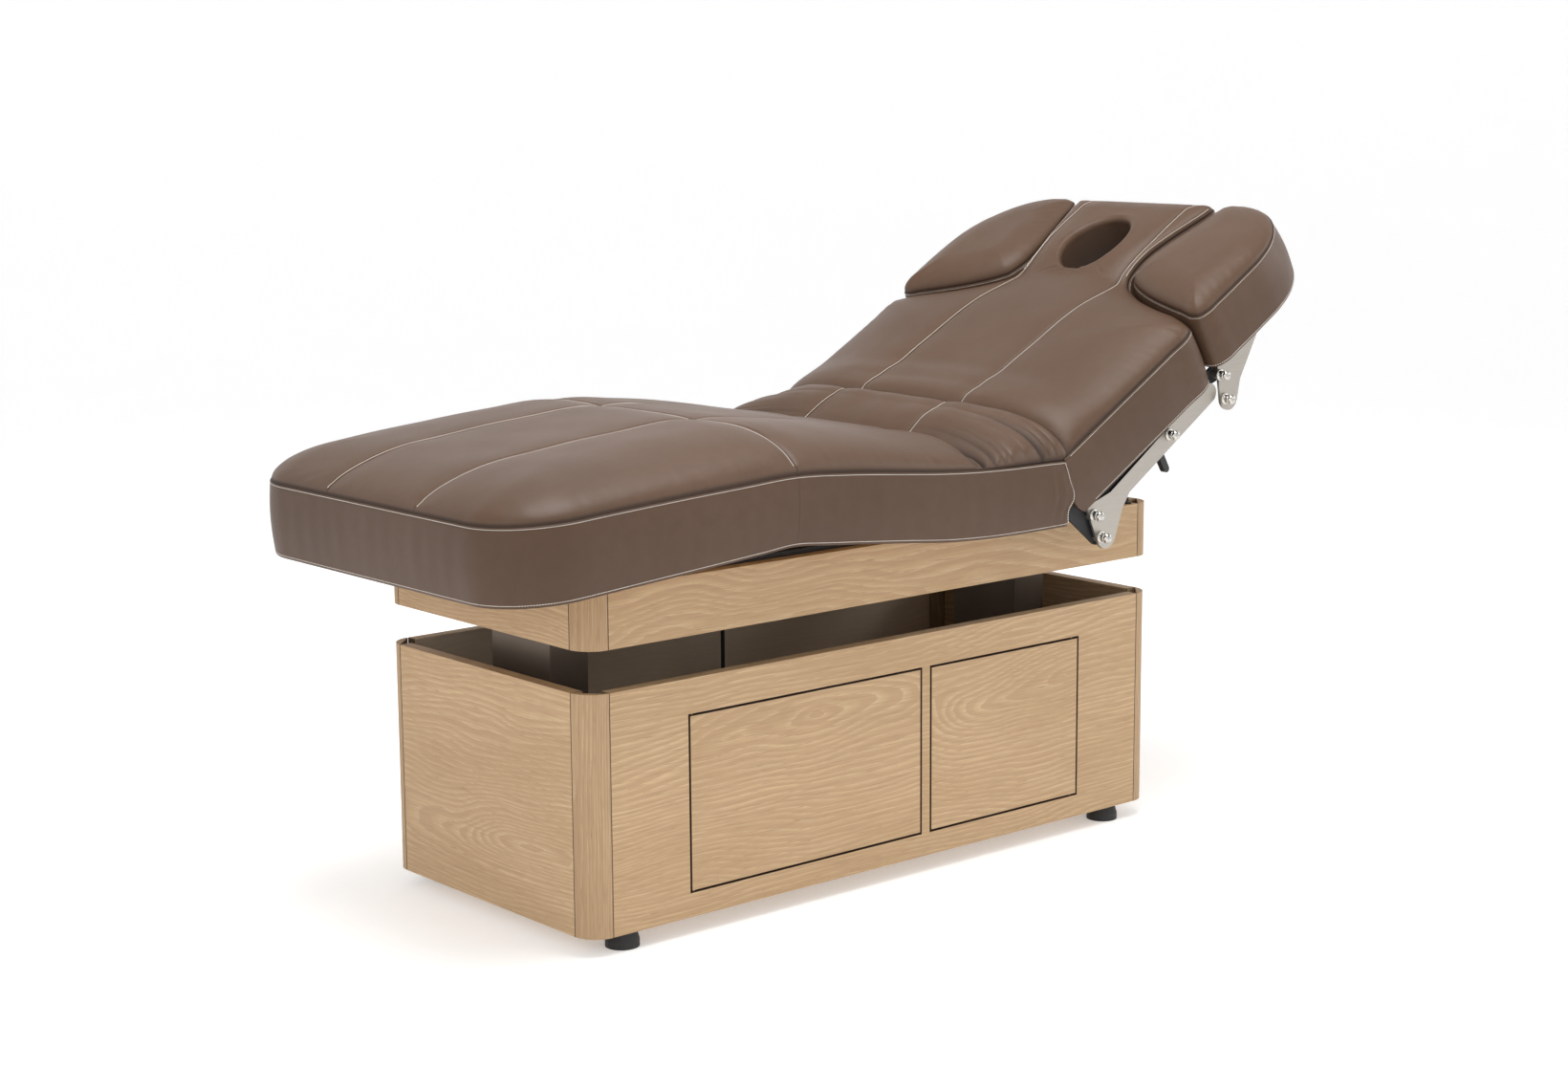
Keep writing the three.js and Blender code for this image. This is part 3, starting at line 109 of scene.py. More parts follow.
def curve(x, stops):
    """Value at x on a soft line through stops (x, value).

    Each span is a cubic, and the slope at a stop is the mean one.
    """
    at, value = np.array(stops, float).T
    lean = np.gradient(value, at)
    x = np.clip(np.asarray(x, float), at[0], at[-1])
    i = np.clip(np.searchsorted(at, x) - 1, 0, len(at) - 2)
    gap = at[i + 1] - at[i]
    t = (x - at[i]) / gap
    rise = 3 * t ** 2 - 2 * t ** 3
    return ((1 - rise) * value[i] + rise * value[i + 1]
            + gap * ((t ** 3 - 2 * t ** 2 + t) * lean[i] + (t ** 3 - t ** 2) * lean[i + 1]))


def ribbon(points, step, closed=False):
    """Points every step along a soft line: a cubic span between neighbours, by distance along it."""
    p = np.array(points, float)
    if closed:
        p = np.vstack([p, p[:1]])
    far = steps_along(p)
    fine = np.linspace(0, far[-1], max(8, int(far[-1] / (step / 4))))
    if closed:
        loop = far[-1]
        at = np.concatenate([far[-4:-1] - loop, far, far[1:4] + loop])
        p = np.vstack([p[-4:-1], p, p[1:4]])
    else:
        at = far
    line = np.stack([curve(fine, np.stack([at, p[:, k]], 1)) for k in (0, 1)], 1)
    run = steps_along(line)
    even = np.linspace(0, run[-1], max(4, int(run[-1] / step)) + 1)
    return np.stack([np.interp(even, run, line[:, k]) for k in (0, 1)], 1)


def distance_to(line, x, y):
    """Shortest distance from each point to a chain of straight pieces.

    It is taken to the foot of the upright on each piece, kept on that piece.
    """
    shape = np.broadcast(x, y).shape
    p = np.stack(np.broadcast_arrays(x, y), -1).reshape(-1, 1, 2)
    a, b = line[:-1][None], line[1:][None]
    ab = b - a
    t = unit(((p - a) * ab).sum(-1) / np.maximum((ab * ab).sum(-1), 1e-9))
    return np.hypot(*np.moveaxis(p - a - t[..., None] * ab, -1, 0)).min(-1).reshape(shape)


def pillow(distance, run):
    """Quarter ellipse: 0 and upright at the seam, 1 and flat once the distance reaches the run."""
    return np.sqrt(1 - (1 - unit(distance / run)) ** 2)


def crease(distance, width):
    """A soft groove's share: 1 on the line, falling off as a bell of that width."""
    return np.exp(-(distance / width) ** 2)


def waves(s, lengths, seed):
    """Uneven ripple, about -1 to 1: sines with seeded starts, each weaker than the last."""
    rng = np.random.default_rng(seed)
    parts = [np.sin(2 * math.pi * s / length + rng.uniform(0, 6.28)) / (1 + 0.5 * k)
             for k, length in enumerate(lengths)]
    return sum(parts) / len(parts)


def steps_along(line):
    """Distance along a line of points, from 0 at its start: the lengths of its pieces added up."""
    return np.concatenate([[0], np.cumsum(np.linalg.norm(np.diff(line, axis=0), axis=1))])


print("crown 0, 50 and 190 mm from a seam:", pillow(np.array([0, 50, 190]), 190).round(2))

# %% [markdown]
# ## Sewing sheets into a mesh
#
# A cover is cut from panels: tops, side bands and hems. Here each panel is a grid of points, and
# this small class lays the grids out and sews them where their points meet. Every point also
# carries a number of painted shade, called fold, 0 on open leather and 1 deep in a seam or out of
# sight, which darkens the leather's colour later.

# %% Cover maker
def hang(name, data):
    """A new object with that data, linked to the scene."""
    obj = bpy.data.objects.new(name, data)
    bpy.context.scene.collection.objects.link(obj)
    return obj


def smooth(mesh):
    """Shades all the faces of a mesh smooth."""
    mesh.polygons.foreach_set("use_smooth", np.ones(len(mesh.polygons), bool))


SEW_GRID = 1e5


class Cover:
    def __init__(self, name):
        self.name = name
        self.points, self.folds, self.quads = [], [], []
        self.count = 0

    def sheet(self, points, fold=0.0, turn=False, keep=None):
        """Adds a grid of points.

        Its quads face up where rows run along x and columns along y, and turn faces them down. fold is
        the painted shade of each point, 0 in the open and 1 deep in a seam or out of sight.
        """
        rows, cols = points.shape[:2]
        number = np.arange(rows * cols).reshape(rows, cols) + self.count
        quads = np.stack([number[:-1, :-1], number[1:, :-1], number[1:, 1:], number[:-1, 1:]], -1)
        quads = quads[keep] if keep is not None else quads.reshape(-1, 4)
        self.points.append(points.reshape(-1, 3))
        self.folds.append(np.broadcast_to(fold, (rows, cols)).reshape(-1).astype(float))
        self.quads.append(quads[:, ::-1] if turn else quads)
        self.count += rows * cols

    def make(self):
        """Sews points that agree to a hundredth of a millimetre and writes the mesh in whole arrays."""
        points, folds, quads = np.vstack(self.points), np.concatenate(self.folds), np.vstack(self.quads)
        keys = np.round(points * SEW_GRID).astype(np.int64)
        _, first, back = np.unique(keys, axis=0, return_index=True, return_inverse=True)
        quads = back.reshape(-1)[quads]
        same = quads == np.roll(quads, 1, axis=1)
        whole = quads[same.sum(1) == 0]
        bent = quads[same.sum(1) == 1]
        tris = bent[~same[same.sum(1) == 1]].reshape(-1, 3)
        mesh = bpy.data.meshes.new(self.name)
        corners = np.concatenate([whole.reshape(-1), tris.reshape(-1)])
        starts = np.concatenate([np.arange(len(whole)) * 4, len(whole) * 4 + np.arange(len(tris)) * 3])
        mesh.vertices.add(len(first))
        mesh.vertices.foreach_set("co", points[first].astype(np.float32).reshape(-1))
        mesh.loops.add(len(corners))
        mesh.loops.foreach_set("vertex_index", corners.astype(np.int32))
        mesh.polygons.add(len(starts))
        mesh.polygons.foreach_set("loop_start", starts.astype(np.int32))
        mesh.update(calc_edges=True)
        # the painted shade goes to a point attribute that the leather's colour reads
        depth = mesh.attributes.new("fold", "FLOAT", "POINT")
        depth.data.foreach_set("value", folds[first].astype(np.float32))
        mesh.validate()
        smooth(mesh)
        print(f"{self.name}: {len(first)} points, {len(mesh.polygons)} faces")
        return hang(self.name, mesh)


# %% [markdown]
# ## Bands, hems and the closed form
#
# Round every cushion goes a side band. It is sewn to the top in a welt, a tight fold whose shade
# is painted in as a dark line. A row of stitches holds the seam down just below it, the band bulges a
# little over the foam, and it turns under at the hem, where it is stapled to the deck, with painted
# shade deepening into the turn. The base cloth closes the cushion underneath and end cloths close it
# where two sections meet, so each cover is one closed form; both are painted as full shade. All of
# these panels reuse the rim of the top, point for point, so they sew up without a gap.

# %% Profile of the side band
WELT = 1.8
LIP = 15.4
DECK_DEPTH = 22.8
STITCH_DROP = 6.4
BULGE_STEPS = np.array([0, 0.05, 0.12, 0.2, 0.3, 0.41, 0.52, 0.63, 0.74, 0.84, 0.92, 0.97, 1.0])


def outward(line, closed=False):
    """Unit directions to the left of a line's travel: its tangent turned by a quarter."""
    run = np.vstack([line[-2], line, line[1]]) if closed else line
    t = np.gradient(run, axis=0)
    t = t[1:-1] if closed else t
    t /= np.maximum(np.hypot(*t.T), 1e-9)[:, None]
    return np.stack([-t[:, 1], t[:, 0]], 1)


def band_shape(rim, top, seam, hem, bulge, taper, ripple, closed=False):
    """Flat places of a band: columns go from the rim over the welt and bulge to the hem and up inside.

    The bulge is a sine over the height, the taper grows with its square and the ripple swells with the sine.
    """
    count = len(rim)
    seam, hem = np.broadcast_to(seam, count)[:, None], np.broadcast_to(hem, count)[:, None]
    ripple = np.broadcast_to(ripple, count)[:, None]
    r = BULGE_STEPS[None]
    start = 1.0 + 0 * seam
    body = start + bulge * np.sin(math.pi * r) - (taper + 1.0) * r ** 2 + ripple * np.sin(math.pi * r) ** 0.7
    one = np.ones((count, 1))
    welt = [place * one for place in (-1.6, -0.6, 0.4, 1.1, 0.5)]
    turned = [place * one for place in (-taper - 0.8, -taper - 3.0, -LIP + 1.0, -LIP)]
    out = np.hstack(welt + [body] + turned)
    low = seam - STITCH_DROP - 1.6
    welt_up = [seam - drop for drop in (3.9, 3.3, 3.8, 5.0, STITCH_DROP)]
    up = np.hstack(welt_up + [low - (low - hem) * r, hem - 1.5, hem - 2.3, hem - 1.6, hem + DECK_DEPTH])
    line = rim + outward(rim, closed) * WELT
    spots = line[:, None, :] + outward(rim, closed)[:, None, :] * out[..., None]
    flat = np.concatenate([spots, up[..., None]], -1)
    return np.concatenate([np.concatenate([rim, np.reshape(top, (-1, 1))], 1)[:, None], flat], 1)


# painted shade across a band's columns: dark in the welt and below the stitches, deepening into the hem's
# turn
welt_shade, hem_shade = [0.8, 1.0, 0.4, 0.0, 0.1, 0.55], [0.0, 0.3, 0.7, 0.9, 1.0]
BAND_SHADE = np.concatenate([welt_shade, np.zeros(len(BULGE_STEPS) - 1), hem_shade])


# %% A whole cover from the grid of its top
def wrap(cover, place, xs, ys, zs, fold, seam, hem, wrapped, bulge=3.0, taper=4.0, *, ripple, keep=None):
    """Lays the top, the bands round it, the base and the end cloths, all on the same rows and columns.

    wrapped names the end that has a band, first or last, or is empty. Returns the base's flat places.
    """
    rows, cols = xs.shape
    cover.sheet(place(xs, ys, zs), fold=fold, keep=keep)
    near = [(r, 0) for r in reversed(range(rows))]
    far = [(r, cols - 1) for r in range(rows)]
    paths = {"first": [near + [(0, c) for c in range(1, cols - 1)] + far],
             "last": [far + [(rows - 1, c) for c in range(cols - 2, 0, -1)] + near], "": [near, far]}[wrapped]
    base = np.full((rows, cols, 3), np.nan)
    sides = {}
    for path in paths:
        i, j = np.array(path).T
        rim = np.stack([xs[i, j], ys[i, j]], 1)
        shape = band_shape(rim, zs[i, j], seam(rim[:, 0]), hem(rim[:, 0]), bulge, taper, ripple(rim))
        cover.sheet(place(*np.moveaxis(shape, -1, 0)), fold=BAND_SHADE[None])
        base[i, j] = shape[:, -1]
        for end in (0, -1):
            sides[path[end]] = shape[end]
    share = (ys - ys[:, :1]) / (ys[:, -1:] - ys[:, :1])
    filled = base[:, :1] * (1 - share[..., None]) + base[:, -1:] * share[..., None]
    base = np.where(np.isnan(base), filled, base)
    # the base cloth out of sight is painted as full shade
    cover.sheet(place(*np.moveaxis(base, -1, 0)), fold=1.0, turn=True, keep=keep)
    for row in {"first": [rows - 1], "last": [0], "": [0, rows - 1]}[wrapped]:
        one, other = sides[(row, 0)], sides[(row, cols - 1)]
        run = steps_along(one)
        drop = (run / run[-1])[None, :, None]
        top = np.stack([xs[row], ys[row], zs[row]], -1)[:, None]
        cloth = top * (1 - drop) + base[row][:, None] * drop
        cloth[0], cloth[-1] = one, other
        # the end cloths are painted as full shade
        cover.sheet(place(*np.moveaxis(cloth, -1, 0)), fold=1.0, turn=row > 0)
    return base


# %% [markdown]
# ## Stitching
#
# The thread is off-white and thick, in stitches under 5 mm apart that sit in the leather beside
# each seam. Each stitch is a small capsule. There are thousands, so one capsule of thirty faces is
# copied along each line as a whole array.

# %% Stitch maker
STITCH_PITCH = 4.6
STITCH_SIDES = 6
STITCH_LENGTH, STITCH_RADIUS, STITCH_LIFT = 3.5, 0.62, 0.25
SEAM_OUT, HEM_UP = 0.4, 3.0
stitch_profile = np.array([[-0.5, 0.0], [-0.44, 0.72], [-0.2, 1.0], [0.2, 1.0], [0.44, 0.72], [0.5, 0.0]])


def sampled(values, at, where):
    """Rows of values, known at the distances at, read off at the distances where."""
    return np.stack([np.interp(where, at, values[:, k]) for k in range(3)], 1)


def stitches(name, runs):
    """Capsules along the tangents of lines. Each run is (points, normals) in the frame."""
    all_points, all_quads, count = [], [], 0
    turn = np.arange(STITCH_SIDES) * 2 * math.pi / STITCH_SIDES
    for points, normals in runs:
        run = steps_along(points) * 1000
        number = int(run[-1] / STITCH_PITCH)
        at = (np.arange(number) + 0.5) * run[-1] / max(number, 1)
        middle = sampled(points, run, at)
        along = sampled(points, run, at + 0.6) - sampled(points, run, at - 0.6)
        along /= np.linalg.norm(along, axis=1)[:, None]
        up = sampled(normals, run, at)
        up -= (up * along).sum(1)[:, None] * along
        up /= np.linalg.norm(up, axis=1)[:, None]
        side = np.cross(along, up)
        ring = np.cos(turn)[None, :, None] * side[:, None] + np.sin(turn)[None, :, None] * up[:, None]
        core = (middle + up * STITCH_LIFT / 1000)[:, None, None]
        lengthwise = along[:, None, None] * stitch_profile[None, :, None, :1] * STITCH_LENGTH / 1000
        body = core + lengthwise + ring[:, None] * stitch_profile[None, :, None, 1:] * STITCH_RADIUS / 1000
        rings = len(stitch_profile)
        index = np.arange(number * rings * STITCH_SIDES).reshape(number, rings, STITCH_SIDES) + count
        after = np.roll(index, -1, axis=2)
        faces = np.stack([index[:, :-1], index[:, 1:], after[:, 1:], after[:, :-1]], -1)
        all_quads.append(faces.reshape(-1, 4))
        all_points.append(body.reshape(-1, 3))
        count += index.size
    mesh = bpy.data.meshes.new(name)
    mesh.from_pydata(np.vstack(all_points), [], np.vstack(all_quads))
    smooth(mesh)
    box = bmesh.new()
    box.from_mesh(mesh)
    bmesh.ops.remove_doubles(box, verts=box.verts, dist=1e-5)
    bmesh.ops.recalc_face_normals(box, faces=box.faces)
    box.to_mesh(mesh)
    box.free()
    print(f"{name}: {count // (len(stitch_profile) * STITCH_SIDES)} stitches")
    return hang(name, mesh)


def run_on(place, height, x, y):
    """A stitched line over a top: its points, and normals from the height's slope in x and y."""
    e = 0.5
    points = place(x, y, height(x, y))
    dx = place(x + e, y, height(x + e, y)) - place(x - e, y, height(x - e, y))
    dy = place(x, y + e, height(x, y + e)) - place(x, y - e, height(x, y - e))
    return points, np.cross(dx, dy)


def run_beside(place, rim, up, out, closed=False):
    """A stitched line on a band: the rim moved outward by the welt and out, at height up, facing outward."""
    away = outward(rim, closed)
    x, y = (rim + away * (WELT + out)).T
    points = place(x, y, up)
    return points, place(x + away[:, 0], y + away[:, 1], up) - points


def band_runs(place, rim, seam, hem, hem_out, closed=False):
    """The two stitched lines of a band: one under its seam and one over its hem."""
    return [run_beside(place, rim, seam - STITCH_DROP, SEAM_OUT, closed),
            run_beside(place, rim, hem + HEM_UP, hem_out, closed)]


def rim_of(xs, ys, wrapped):
    """The top's edge as a line, clockwise seen from above, in the order that wrap uses."""
    edge = np.stack([xs, ys], -1)
    near, far = edge[::-1, 0], edge[:, -1]
    if wrapped == "first":
        return np.vstack([near, edge[0, 1:-1], far])
    return np.vstack([far, edge[-1, -2:0:-1], near])


# %% [markdown]
# ## Grids over a top
#
# A top's rows run along the table and its columns across it. Columns crowd together at the edge,
# where the crown stands upright, and at the two long seams, where the leather dips.

# %% Columns across a top
NEAR_SEAM = np.array([0, 1.2, 2.6, 4.5, 7, 10, 14, 20, 28])
NEAR_EDGE = np.array([0, 0.25, 0.7, 1.4, 2.5, 4, 6, 8.5, 11.5, 15, 19.5, 25, 31, 38, 46, 55, 65, 76, 88])
MIDDLE = 134.0
HALF = 416.0


def shares_between(first, last, width, step):
    """Shares 0 to 1 over a width: first and last are distances from its ends, with even steps between."""
    count = int((width - last[-1] - first[-1]) / step)
    room = np.linspace(first[-1], width - last[-1], max(2, count))
    return np.unique(np.concatenate([first, room, width - last]) / width)


inner_shares = shares_between(NEAR_SEAM, NEAR_SEAM, 2 * MIDDLE, 9.0)
outer_shares = shares_between(NEAR_SEAM, NEAR_EDGE, HALF - MIDDLE, 8.0)


def across(half, middle):
    """Columns for each row: shares between the long seams, then from each seam to the edge."""
    half, middle = np.broadcast_arrays(np.reshape(half, (-1, 1)), np.reshape(middle, (-1, 1)))
    centre = middle * (2 * inner_shares[None] - 1)
    outer = middle + (half - middle) * outer_shares[None, 1:]
    return np.hstack([-outer[:, ::-1], centre, outer])


print("columns across a top:", across(HALF, MIDDLE).shape[1])

# %% [markdown]
# ## The leather's lines, read along the bench
#
# The edge seam dips and rises with the jointed sections: up to the knee, down into the lap, level
# along the seat. The hem follows the bottom of the foam.

# %% Edge seam, hem and crown along the bench
KNEE = 366.0
FOOT = -215.5
RIM_DROP = 2.6
EDGE_SEAM = [(-216, 765), (-99, 774), (91, 786), (240, 793.5), (366, 799), (480, 792), (617, 779), (700, 771),
             (780, 765.5), (876, 762), (975, 761), (1015, 760)]
HEM = [(-216, 634), (-103, 642), (88, 656), (291, 671), (366, 676.5), (430, 671), (505, 664), (620, 652.5),
       (734, 641), (796, 637.5), (977, 636), (1030, 637)]
CROWN = [(-216, 52), (-100, 58), (30, 64), (190, 71), (300, 74), (366, 73), (450, 71), (576, 67), (654, 62),
         (750, 52), (848, 43), (900, 40)]


def section_rise(distance, run=190):
    """Rise of the mattress from its edge: nearly all within the run, and a last little beyond it."""
    return 0.93 * pillow(distance, run) + 0.07 * pillow(distance, 400)


def edge_seam(x):
    """Height of the edge seam, read off the soft line through its stops."""
    return curve(x, EDGE_SEAM)


def edge_hem(x):
    """Height of the hem, read off in the same way."""
    return curve(x, HEM)


def section_top(x, distance):
    """Height of a seated section: the rim of its edge seam plus the crown's share at that distance."""
    return edge_seam(x) - RIM_DROP + (curve(x, CROWN) + RIM_DROP) * section_rise(distance)


def knee_groove(x, distance):
    """Depth of the dip at the knee seam: a narrow groove in a wide one, gone at the rim."""
    return (3.0 * crease(x - KNEE, 5.0) + 3.5 * crease(x - KNEE, 30.0)) * unit(distance / 12)


def slow_swell(x, y, distance):
    """Long, low unevenness of the filling."""
    return 1.1 * waves(x + 0.6 * y, (170, 260, 410), 3) * unit(distance / 60)


print("edge seam at the knee:", edge_seam(KNEE))

# %% [markdown]
# ## Leg cover
#
# The foot end is a rounded slab. Its top is one piece of leather with two long seams, sewn to a
# band that runs round the foot. Small puckers sit along the edge seam where the leather is eased
# round the corner.

# %% Leg cover: its outline and height
CORNER = 132.0
corner_turn = np.linspace(0, math.pi / 2, 40)
foot_corner = np.stack([FOOT + CORNER - CORNER * np.sin(corner_turn),
                        -(HALF - CORNER) - CORNER * np.cos(corner_turn)], 1)
leg_line = np.vstack([[KNEE + 60, -HALF], foot_corner, foot_corner[::-1] * (1, -1), [KNEE + 60, HALF]])
leg_inner = leg_line - outward(leg_line) * WELT


def long_seam_dip(y, middle):
    """Depth of the dips over the two long seams: a narrow groove in a wide, shallow one."""
    d = np.abs(y) - middle
    return 2.6 * crease(d, 5.0) + 2.4 * crease(d, 26.0)


def puckers(distance, s, seed, size=0.9, reach=26.0):
    """Short ripples against a seam: uneven waves along it that fade with distance from it."""
    return size * waves(s, (23, 37, 61), seed) * np.exp(-distance / reach) * unit(distance / 6)


def leg_height(x, y):
    """Edge seam plus crown by distance to the outline, less the dips of the long seams and the knee seam."""
    d = distance_to(leg_inner, x, y)
    around = np.where(x < FOOT + CORNER, np.arctan2(y, FOOT + CORNER - x) * 250, x + np.sign(y) * 400)
    dip = long_seam_dip(y, MIDDLE) * unit(d / 14)
    return section_top(x, d) - dip - knee_groove(x, d) + slow_swell(x, y, d) + puckers(d, around, 11)


# %% Leg cover: its panels
corner_x = FOOT + WELT + (CORNER - WELT) * (1 - np.cos(np.linspace(0, math.pi / 2, 44)))
straight_x = np.arange(corner_x[-1] + 5, KNEE - 30, 6.0)
knee_x = KNEE - np.array([28, 22, 17, 13, 9.5, 6.5, 4.2, 2.4, 1.0, 0])
leg_x = np.concatenate([corner_x, straight_x, knee_x])
into = np.clip(leg_x - FOOT - WELT, 0, CORNER - WELT)
leg_halves = HALF - CORNER + np.sqrt(np.maximum((CORNER - WELT) ** 2 - (CORNER - WELT - into) ** 2, 0))
leg_ys = across(leg_halves, MIDDLE)
leg_xs = leg_x[:, None] + 0 * leg_ys
leg_zs = leg_height(leg_xs, leg_ys)


def seam_shade(x, y, middle, rim_distance):
    """Painted shade of a point: bells over the two long seams, the knee seam and the rim."""
    return np.maximum.reduce([0.6 * crease(np.abs(y) - middle, 1.8), 0.65 * crease(x - KNEE, 2.0),
                              0.7 * crease(rim_distance, 1.0)])


def soft_side(lengths, seed, size=0.7):
    """A slow swell along a band, from uneven waves by distance along it."""
    return lambda rim: size * waves(steps_along(rim), lengths, seed)


leg_cover = Cover("leg_cover")
leg_shade = seam_shade(leg_xs, leg_ys, MIDDLE, distance_to(leg_inner, leg_xs, leg_ys))
wrap(leg_cover, bench, leg_xs, leg_ys, leg_zs, leg_shade, edge_seam, edge_hem, "first",
     ripple=soft_side((46, 77, 120), 5))
leg_cover = leg_cover.make()

# %% Leg cover: its stitching
leg_runs = []
for side in (-1, 1):
    x = np.linspace(FOOT + 6, KNEE - 5, 240)
    leg_runs.append(run_on(bench, leg_height, x, side * (MIDDLE + 4) + 0 * x))
y = np.linspace(-HALF + 7, HALF - 7, 300)
leg_runs.append(run_on(bench, leg_height, KNEE - 5 + 0 * y, y))
leg_rim = rim_of(leg_xs, leg_ys, "first")
leg_runs += band_runs(bench, leg_rim, edge_seam(leg_rim[:, 0]), edge_hem(leg_rim[:, 0]), -3.9)
leg_thread = stitches("leg_stitching", leg_runs)

# %% [markdown]
# ## Thigh cover and the seat's side bands
#
# From the knee the leather runs down into the lap and ends in a deep fold across the hips. Its
# side bands go on past the fold, along the seat to the hinge of the back, in one piece as on the
# real table, and end there on a slanted edge. Behind the fold the cover dips to a low shelf, which
# carries the seat's strip.

# %% The fold across the hips, seen from above
FOLD_LINE = [(0, 848), (150, 849), (215, 843), (270, 829), (330, 803), (380, 781), (416, 765)]
CREST_LINE = [(0, 966), (140, 968), (206, 974), (270, 986), (340, 998), (388, 1004), (416, 1009)]
REAR_EDGE = [(637, 1022), (671, 1027), (681, 1036), (724, 1026), (761, 1010)]
SEAT_END = 1010.0


def seat_distance(x, y):
    """Distance from the long edges: half the width less |y|."""
    return HALF - WELT - np.abs(y)


def thigh_height(x, y):
    """Edge seam plus crown. Past the fold line the top drops as a quarter round."""
    d = seat_distance(x, y)
    past_fold = x - curve(np.abs(y), FOLD_LINE)
    past = unit((past_fold + 26) / 44)
    roll = 20 * (1 - np.sqrt(1 - past ** 2 * 0.999)) * unit(d / 30)
    shelf = edge_seam(x) - RIM_DROP + 12 * unit(d / 60)
    beyond = unit((past_fold - 18) / 14)
    near_fold = crease((past_fold + 30) / 60, 1.0)
    pull = 1.3 * waves(x - 0.4 * np.abs(y), (31, 47, 90), 21) * np.exp(-d / 70) * near_fold * unit(d / 8)
    leather = section_top(x, d) - roll - knee_groove(x, d) - long_seam_dip(y, MIDDLE) * unit(d / 14)
    leather = leather + slow_swell(x, y, d) + pull + puckers(d, x + np.sign(y) * 400, 12)
    return leather * (1 - beyond) + np.minimum(leather, shelf) * beyond


# %% Thigh cover: top, bands and the slanted rear edge
def rear_slant(x, y, z):
    """Slants the cover's last stretch, so that it ends on the rear edge at every height."""
    share = unit((x - 900) / (SEAT_END - 900)) ** 2
    return bench(x + share * (curve(z, REAR_EDGE) - SEAT_END), y, z)


knee_steps = np.array([0, 1.0, 2.4, 4.2, 6.5, 9.5, 13, 17, 22, 28])
to_fold = np.concatenate([knee_steps / 480, np.linspace(0.072, 0.9, 62), np.linspace(0.91, 1, 26)])
seat_cols = across(HALF - WELT, MIDDLE)
fold_ends = curve(np.abs(seat_cols), FOLD_LINE) + 18
front = KNEE + to_fold[:, None] * (fold_ends - KNEE)
shelf_share = np.concatenate([np.linspace(0, 0.2, 7)[1:], np.linspace(0.24, 1, 26)])[:, None]
rear = fold_ends + shelf_share * (SEAT_END - fold_ends)
seat_xs = np.vstack([front, rear])
seat_ys = seat_cols + 0 * seat_xs
seat_zs = thigh_height(seat_xs, seat_ys)
# painted shade: the leather at the hip fold and on the shelf behind it is darkened as if in the fold's shadow
past_fold_shade = np.vstack([unit((to_fold[:, None] - 0.985) / 0.015) + 0 * seat_cols, 1 + 0 * rear])
past_fold_shade *= unit(seat_distance(seat_xs, seat_ys) / 10)


def gathered_side(rim):
    """The band's slow swell, with a few upright ripples beside its rear edge."""
    x = rim[:, 0]
    return 0.6 * waves(x, (52, 83, 140), 6) + 2.2 * crease(x - 985, 16) * waves(x, (11, 17), 8)


thigh_cover = Cover("seat_cover")
seat_shade = np.maximum(seam_shade(seat_xs, seat_ys, MIDDLE, seat_distance(seat_xs, seat_ys)), past_fold_shade)
wrap(thigh_cover, rear_slant, seat_xs, seat_ys, seat_zs, seat_shade, edge_seam, edge_hem, "",
     ripple=gathered_side)
thigh_cover = thigh_cover.make()

# %% Thigh cover: its stitching
seat_runs = []
side_x = np.linspace(KNEE, SEAT_END, 160)
for side in (-1, 1):
    x = np.linspace(KNEE + 5, 842, 200)
    seat_runs.append(run_on(bench, thigh_height, x, side * (MIDDLE + 4) + 0 * x))
    line = np.stack([side_x, np.full(len(side_x), side * (HALF - WELT))], 1)
    line = line[::-1] if side < 0 else line
    seat_runs += band_runs(rear_slant, line, edge_seam(line[:, 0]), edge_hem(line[:, 0]), -3.9)
    z = np.linspace(641, 753, 50)
    edge = rear_slant(np.full(50, SEAT_END - 4), np.full(50, side * (HALF + 2.4)), z)
    seat_runs.append((edge, np.tile([0.0, side, 0.0], (50, 1))))
seat_thread = stitches("seat_stitching", seat_runs)

# %% [markdown]
# ## The seat between the fold and the back
#
# With the back raised, the seat's leather is pushed together: it climbs from the fold to a soft
# crest against the back and gathers in ridges at both sides, which fan out from the edge seam and
# die away towards the middle. It has to bend between the seat and the back, so it is a piece of
# its own.

# %% Seat strip: height and panels
# each valley: its place on the edge seam, how much it follows the hip fold, its depth, width and
# reach inwards
VALLEYS = [(806, 0.85, 20.0, 9.0, 150), (836, 0.78, 11.0, 8.0, 190), (859, 0.65, 8.0, 7.0, 120),
           (877, 0.5, 6.5, 6.0, 90), (912, 0.3, 5.0, 12.0, 120), (954, 0.05, 18.0, 9.0, 130),
           (972, 0.0, 7.0, 5.5, 60), (992, 0.0, 9.0, 7.0, 80)]
STRIP_CLIMB = [(0, 21), (0.1, 27), (0.28, 47), (0.5, 66), (0.75, 81), (0.93, 88), (1, 89), (1.08, 86),
               (1.2, 74), (1.35, 48), (1.5, 12)]


def valleys(x, y):
    """Depth of the valleys from the edge seam: each is sharp at its bottom and dies away inwards."""
    d = seat_distance(x, y)
    bend = curve(np.abs(y), FOLD_LINE) - FOLD_LINE[-1][1]
    total = 0
    for at, follow, depth, width, reach in VALLEYS:
        off = np.abs(x + 0.05 * d - follow * bend - at)
        total = total + depth * np.exp(-off / (width + 0.04 * d)) * np.exp(-d / reach)
    return total


